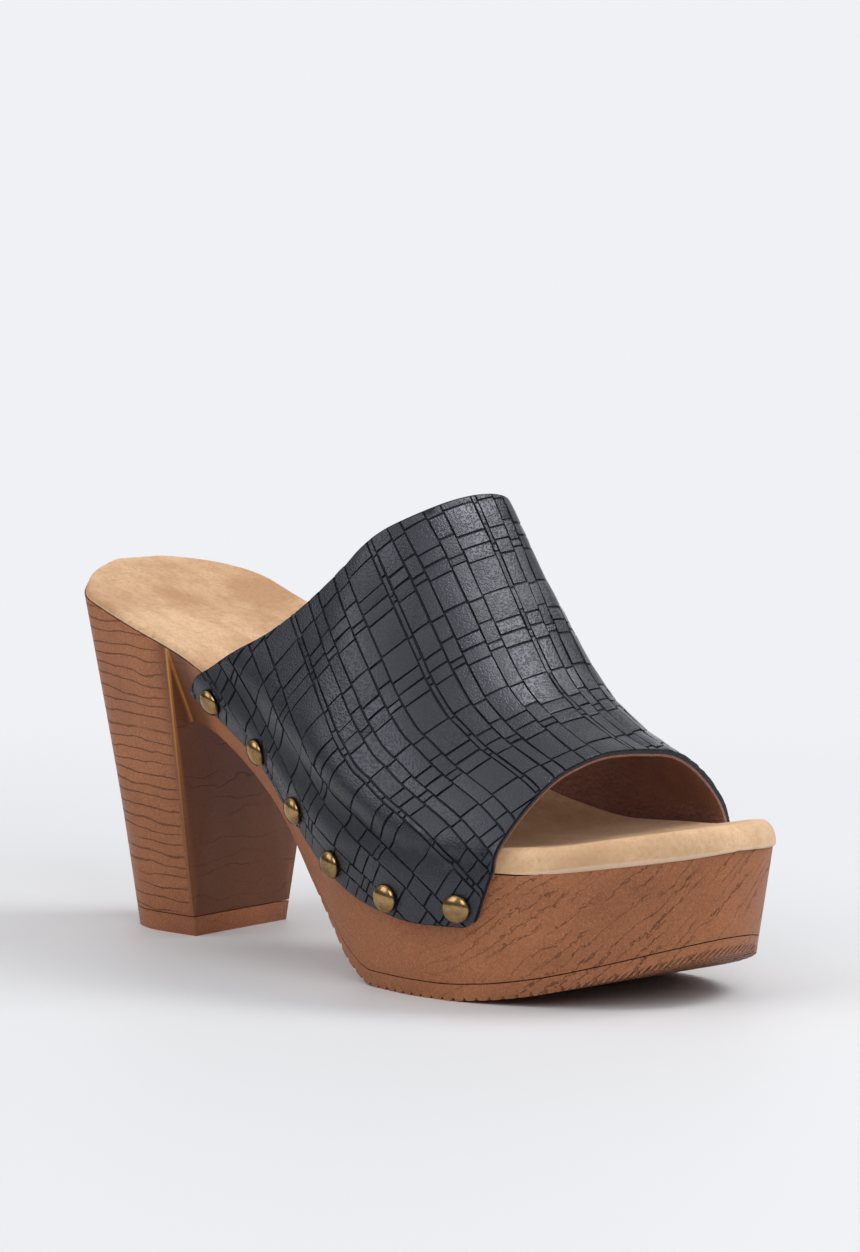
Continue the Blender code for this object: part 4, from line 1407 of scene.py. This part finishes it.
# Lining
# Thin brown calf glued to the back of the hide and cut level with it. It shows inside the
# two openings and as a fine line along their edges.
LINING_START = 1.32 * MM
CALF_DARK, CALF_PALE = tint(134, 96, 86), tint(162, 120, 106)
CALF_PORES, CALF_RELIEF = 0.3 * MM, 0.15 * MM
lining_mesh = sheet_of("lining", LINING_START, LEATHER, share_steps[::2], girth_steps[::2], 0)
brown_calf, tree, shader = new_finish("brown_calf", {"Specular IOR Level": 0.4})
place = place_of(tree)
cloud = noise_of(place, 30.0, 4.0, 0.6)
pores = add(tree, "ShaderNodeTexVoronoi", {"Vector": place, "Scale": 900.0}).outputs["Distance"]
colour = blend_of(between(cloud, 0.36, 0.64), CALF_DARK, CALF_PALE)
tree.links.new(colour, shader.inputs["Base Color"])
tree.links.new(between(cloud, 0.3, 0.7, 0.5, 0.65), shader.inputs["Roughness"])
uneven = relief(shader, noise_of(place, 300.0, 4.0), CALF_RELIEF)
relief(shader, pores, CALF_PORES, uneven)
calf_lining = new_piece("calf_lining", lining_mesh, brown_calf)
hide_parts("upper")

# Nails
# Twelve domed nails of aged brass hold the margins, six a side. One nail is turned here
# and set in all twelve places, each spun and tipped a little by itself.
NAIL_HEAD = 7.7 * MM
NAIL_DOME = 2.5 * MM
NAIL_RIM = 0.4 * MM
NAIL_SHANK = 1.5 * MM
NAIL_LENGTH = 4 * MM
NAIL_STEPS = 40
NAIL_TIP_ANGLE = math.radians(1.6)

# Nails of one side: along, and how far down the margin, as a share of its depth there
NAILS = (
    # along, down
    (0.341, 0.50),
    (0.431, 0.53),
    (0.514, 0.60),
    (0.592, 0.75),
    (0.690, 0.71),
    (0.787, 0.65),
)

radius = NAIL_HEAD / 2
turns = np.radians(np.linspace(90, 0, 13))
outline = [(radius * math.cos(t), GAP + NAIL_RIM + (NAIL_DOME - NAIL_RIM) * math.sin(t))
           for t in turns]
outline += [(radius, GAP + 0.3 * NAIL_RIM), (0.97 * radius, GAP), (NAIL_SHANK / 2, GAP)]
nail_tip = -LEATHER - NAIL_LENGTH
outline += [(NAIL_SHANK / 2, nail_tip + NAIL_SHANK), (0.0, nail_tip)]
shape = bmesh.new()
verts = [shape.verts.new((r, 0, z)) for r, z in outline]
edges = [shape.edges.new(pair) for pair in zip(verts, verts[1:])]
bmesh.ops.spin(shape, geom=verts + edges, cent=(0, 0, 0), axis=(0, 0, 1),
               angle=2 * math.pi, steps=NAIL_STEPS)
bmesh.ops.remove_doubles(shape, verts=shape.verts, dist=MERGED_WITHIN / 4)
bmesh.ops.recalc_face_normals(shape, faces=shape.faces)
nail_mesh = bpy.data.meshes.new("one_nail")
shape.to_mesh(nail_mesh)
shape.free()
nail_mesh.shade_smooth()
nail_mesh.set_sharp_from_angle(angle=math.radians(60))
one_nail = bpy.data.objects.new("one_nail", nail_mesh)

nail_spots, nail_outs = [], []
for side in (-1, 1):
    for along, down in NAILS:
        depth = margin_depth(along) * down
        step = 1 * MM
        shift = step / LENGTH
        ahead = margin_point(along + shift, side, depth) - margin_point(along - shift, side, depth)
        below = margin_point(along, side, depth + step) - margin_point(along, side, depth - step)
        out = np.cross(ahead, below)
        out /= np.linalg.norm(out)
        nail_outs.append(out if out[1] * side > 0 else -out)
        nail_spots.append(margin_point(along, side, depth))
places_mesh = bpy.data.meshes.new("nail_places")
places_mesh.from_pydata(nail_spots, [], [])
places_mesh.attributes.new("out", "FLOAT_VECTOR", "POINT").data.foreach_set(
    "vector", np.concatenate(nail_outs).astype(np.float32))
nail_places = bpy.data.objects.new("nail_places", places_mesh)
bpy.context.scene.collection.objects.link(nail_places)

BRASS, BRASS_DARK, BRASS_SPECK = tint(184, 150, 102), tint(136, 108, 72), tint(74, 58, 36)
BRASS_PITTING = 0.02 * MM
aged_brass, tree, shader = new_finish("aged_brass", {"Metallic": 1.0})
place = place_of(tree)
tarnish = noise_of(place, 210.0, 4.0, 0.6)
specks = noise_of(place, 1600.0, 3.0, 0.7)
brass = blend_of(between(tarnish, 0.35, 0.65), BRASS, BRASS_DARK)
brass = blend_of(between(specks, 0.55, 0.75, 0.0, 0.5), brass, BRASS_SPECK)
tree.links.new(brass, shader.inputs["Base Color"])
tree.links.new(between(specks, 0.3, 0.8, 0.14, 0.26), shader.inputs["Roughness"])
relief(shader, specks, BRASS_PITTING)

nailing = bpy.data.node_groups.new("nailing", "GeometryNodeTree")
sockets = {}
for name, kind in (("Geometry", "Geometry"), ("Nail", "Object"), ("Tip Angle", "Float"),
                   ("Seed", "Int"), ("Finish", "Material")):
    sockets[name] = nailing.interface.new_socket(
        name, in_out="INPUT", socket_type=f"NodeSocket{kind}")
nailing.interface.new_socket("Geometry", in_out="OUTPUT", socket_type="NodeSocketGeometry")
given = nailing.nodes.new("NodeGroupInput").outputs
result = nailing.nodes.new("NodeGroupOutput")
out = add(nailing, "GeometryNodeInputNamedAttribute", {"Name": "out"},
          data_type="FLOAT_VECTOR").outputs["Attribute"]
facing = add(nailing, "FunctionNodeAlignRotationToVector", {"Vector": out}, axis="Z")
nail = add(nailing, "GeometryNodeObjectInfo", {"Object": given["Nail"]})
placed_nails = add(nailing, "GeometryNodeInstanceOnPoints", {
    "Points": given["Geometry"], "Instance": nail.outputs["Geometry"],
    "Rotation": facing.outputs["Rotation"]})
spread = add(nailing, "ShaderNodeCombineXYZ", {
    "X": given["Tip Angle"], "Y": given["Tip Angle"], "Z": math.pi}).outputs[0]
least = add(nailing, "ShaderNodeVectorMath", {0: spread, 1: (-1, -1, -1)},
            operation="MULTIPLY").outputs[0]
chance = add(nailing, "FunctionNodeRandomValue", {
    0: least, 1: spread, "Seed": given["Seed"]}, data_type="FLOAT_VECTOR").outputs[0]
tipped = add(nailing, "GeometryNodeRotateInstances", {
    "Instances": placed_nails.outputs["Instances"], "Rotation": chance})
solid_nails = add(nailing, "GeometryNodeRealizeInstances", {
    "Geometry": tipped.outputs["Instances"]})
finished = add(nailing, "GeometryNodeSetMaterial", {
    "Geometry": solid_nails.outputs["Geometry"], "Material": given["Finish"]})
nailing.links.new(finished.outputs["Geometry"], result.inputs["Geometry"])
nailed = nail_places.modifiers.new("nailing", "NODES")
nailed.node_group = nailing
for name, value in (("Nail", one_nail), ("Tip Angle", NAIL_TIP_ANGLE), ("Seed", 4),
                    ("Finish", aged_brass)):
    nailed[sockets[name].identifier] = value
graph = bpy.context.evaluated_depsgraph_get()
nails_mesh = bpy.data.meshes.new_from_object(nail_places.evaluated_get(graph))
nail_places.modifiers.remove(nailed)
bpy.data.objects.remove(nail_places)
bpy.data.objects.remove(one_nail)
brass_nails = new_piece("brass_nails", nails_mesh)
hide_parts(*[f"nail_{side}_{i}" for side in ("outer", "inner")
                           for i in range(1, 7)])
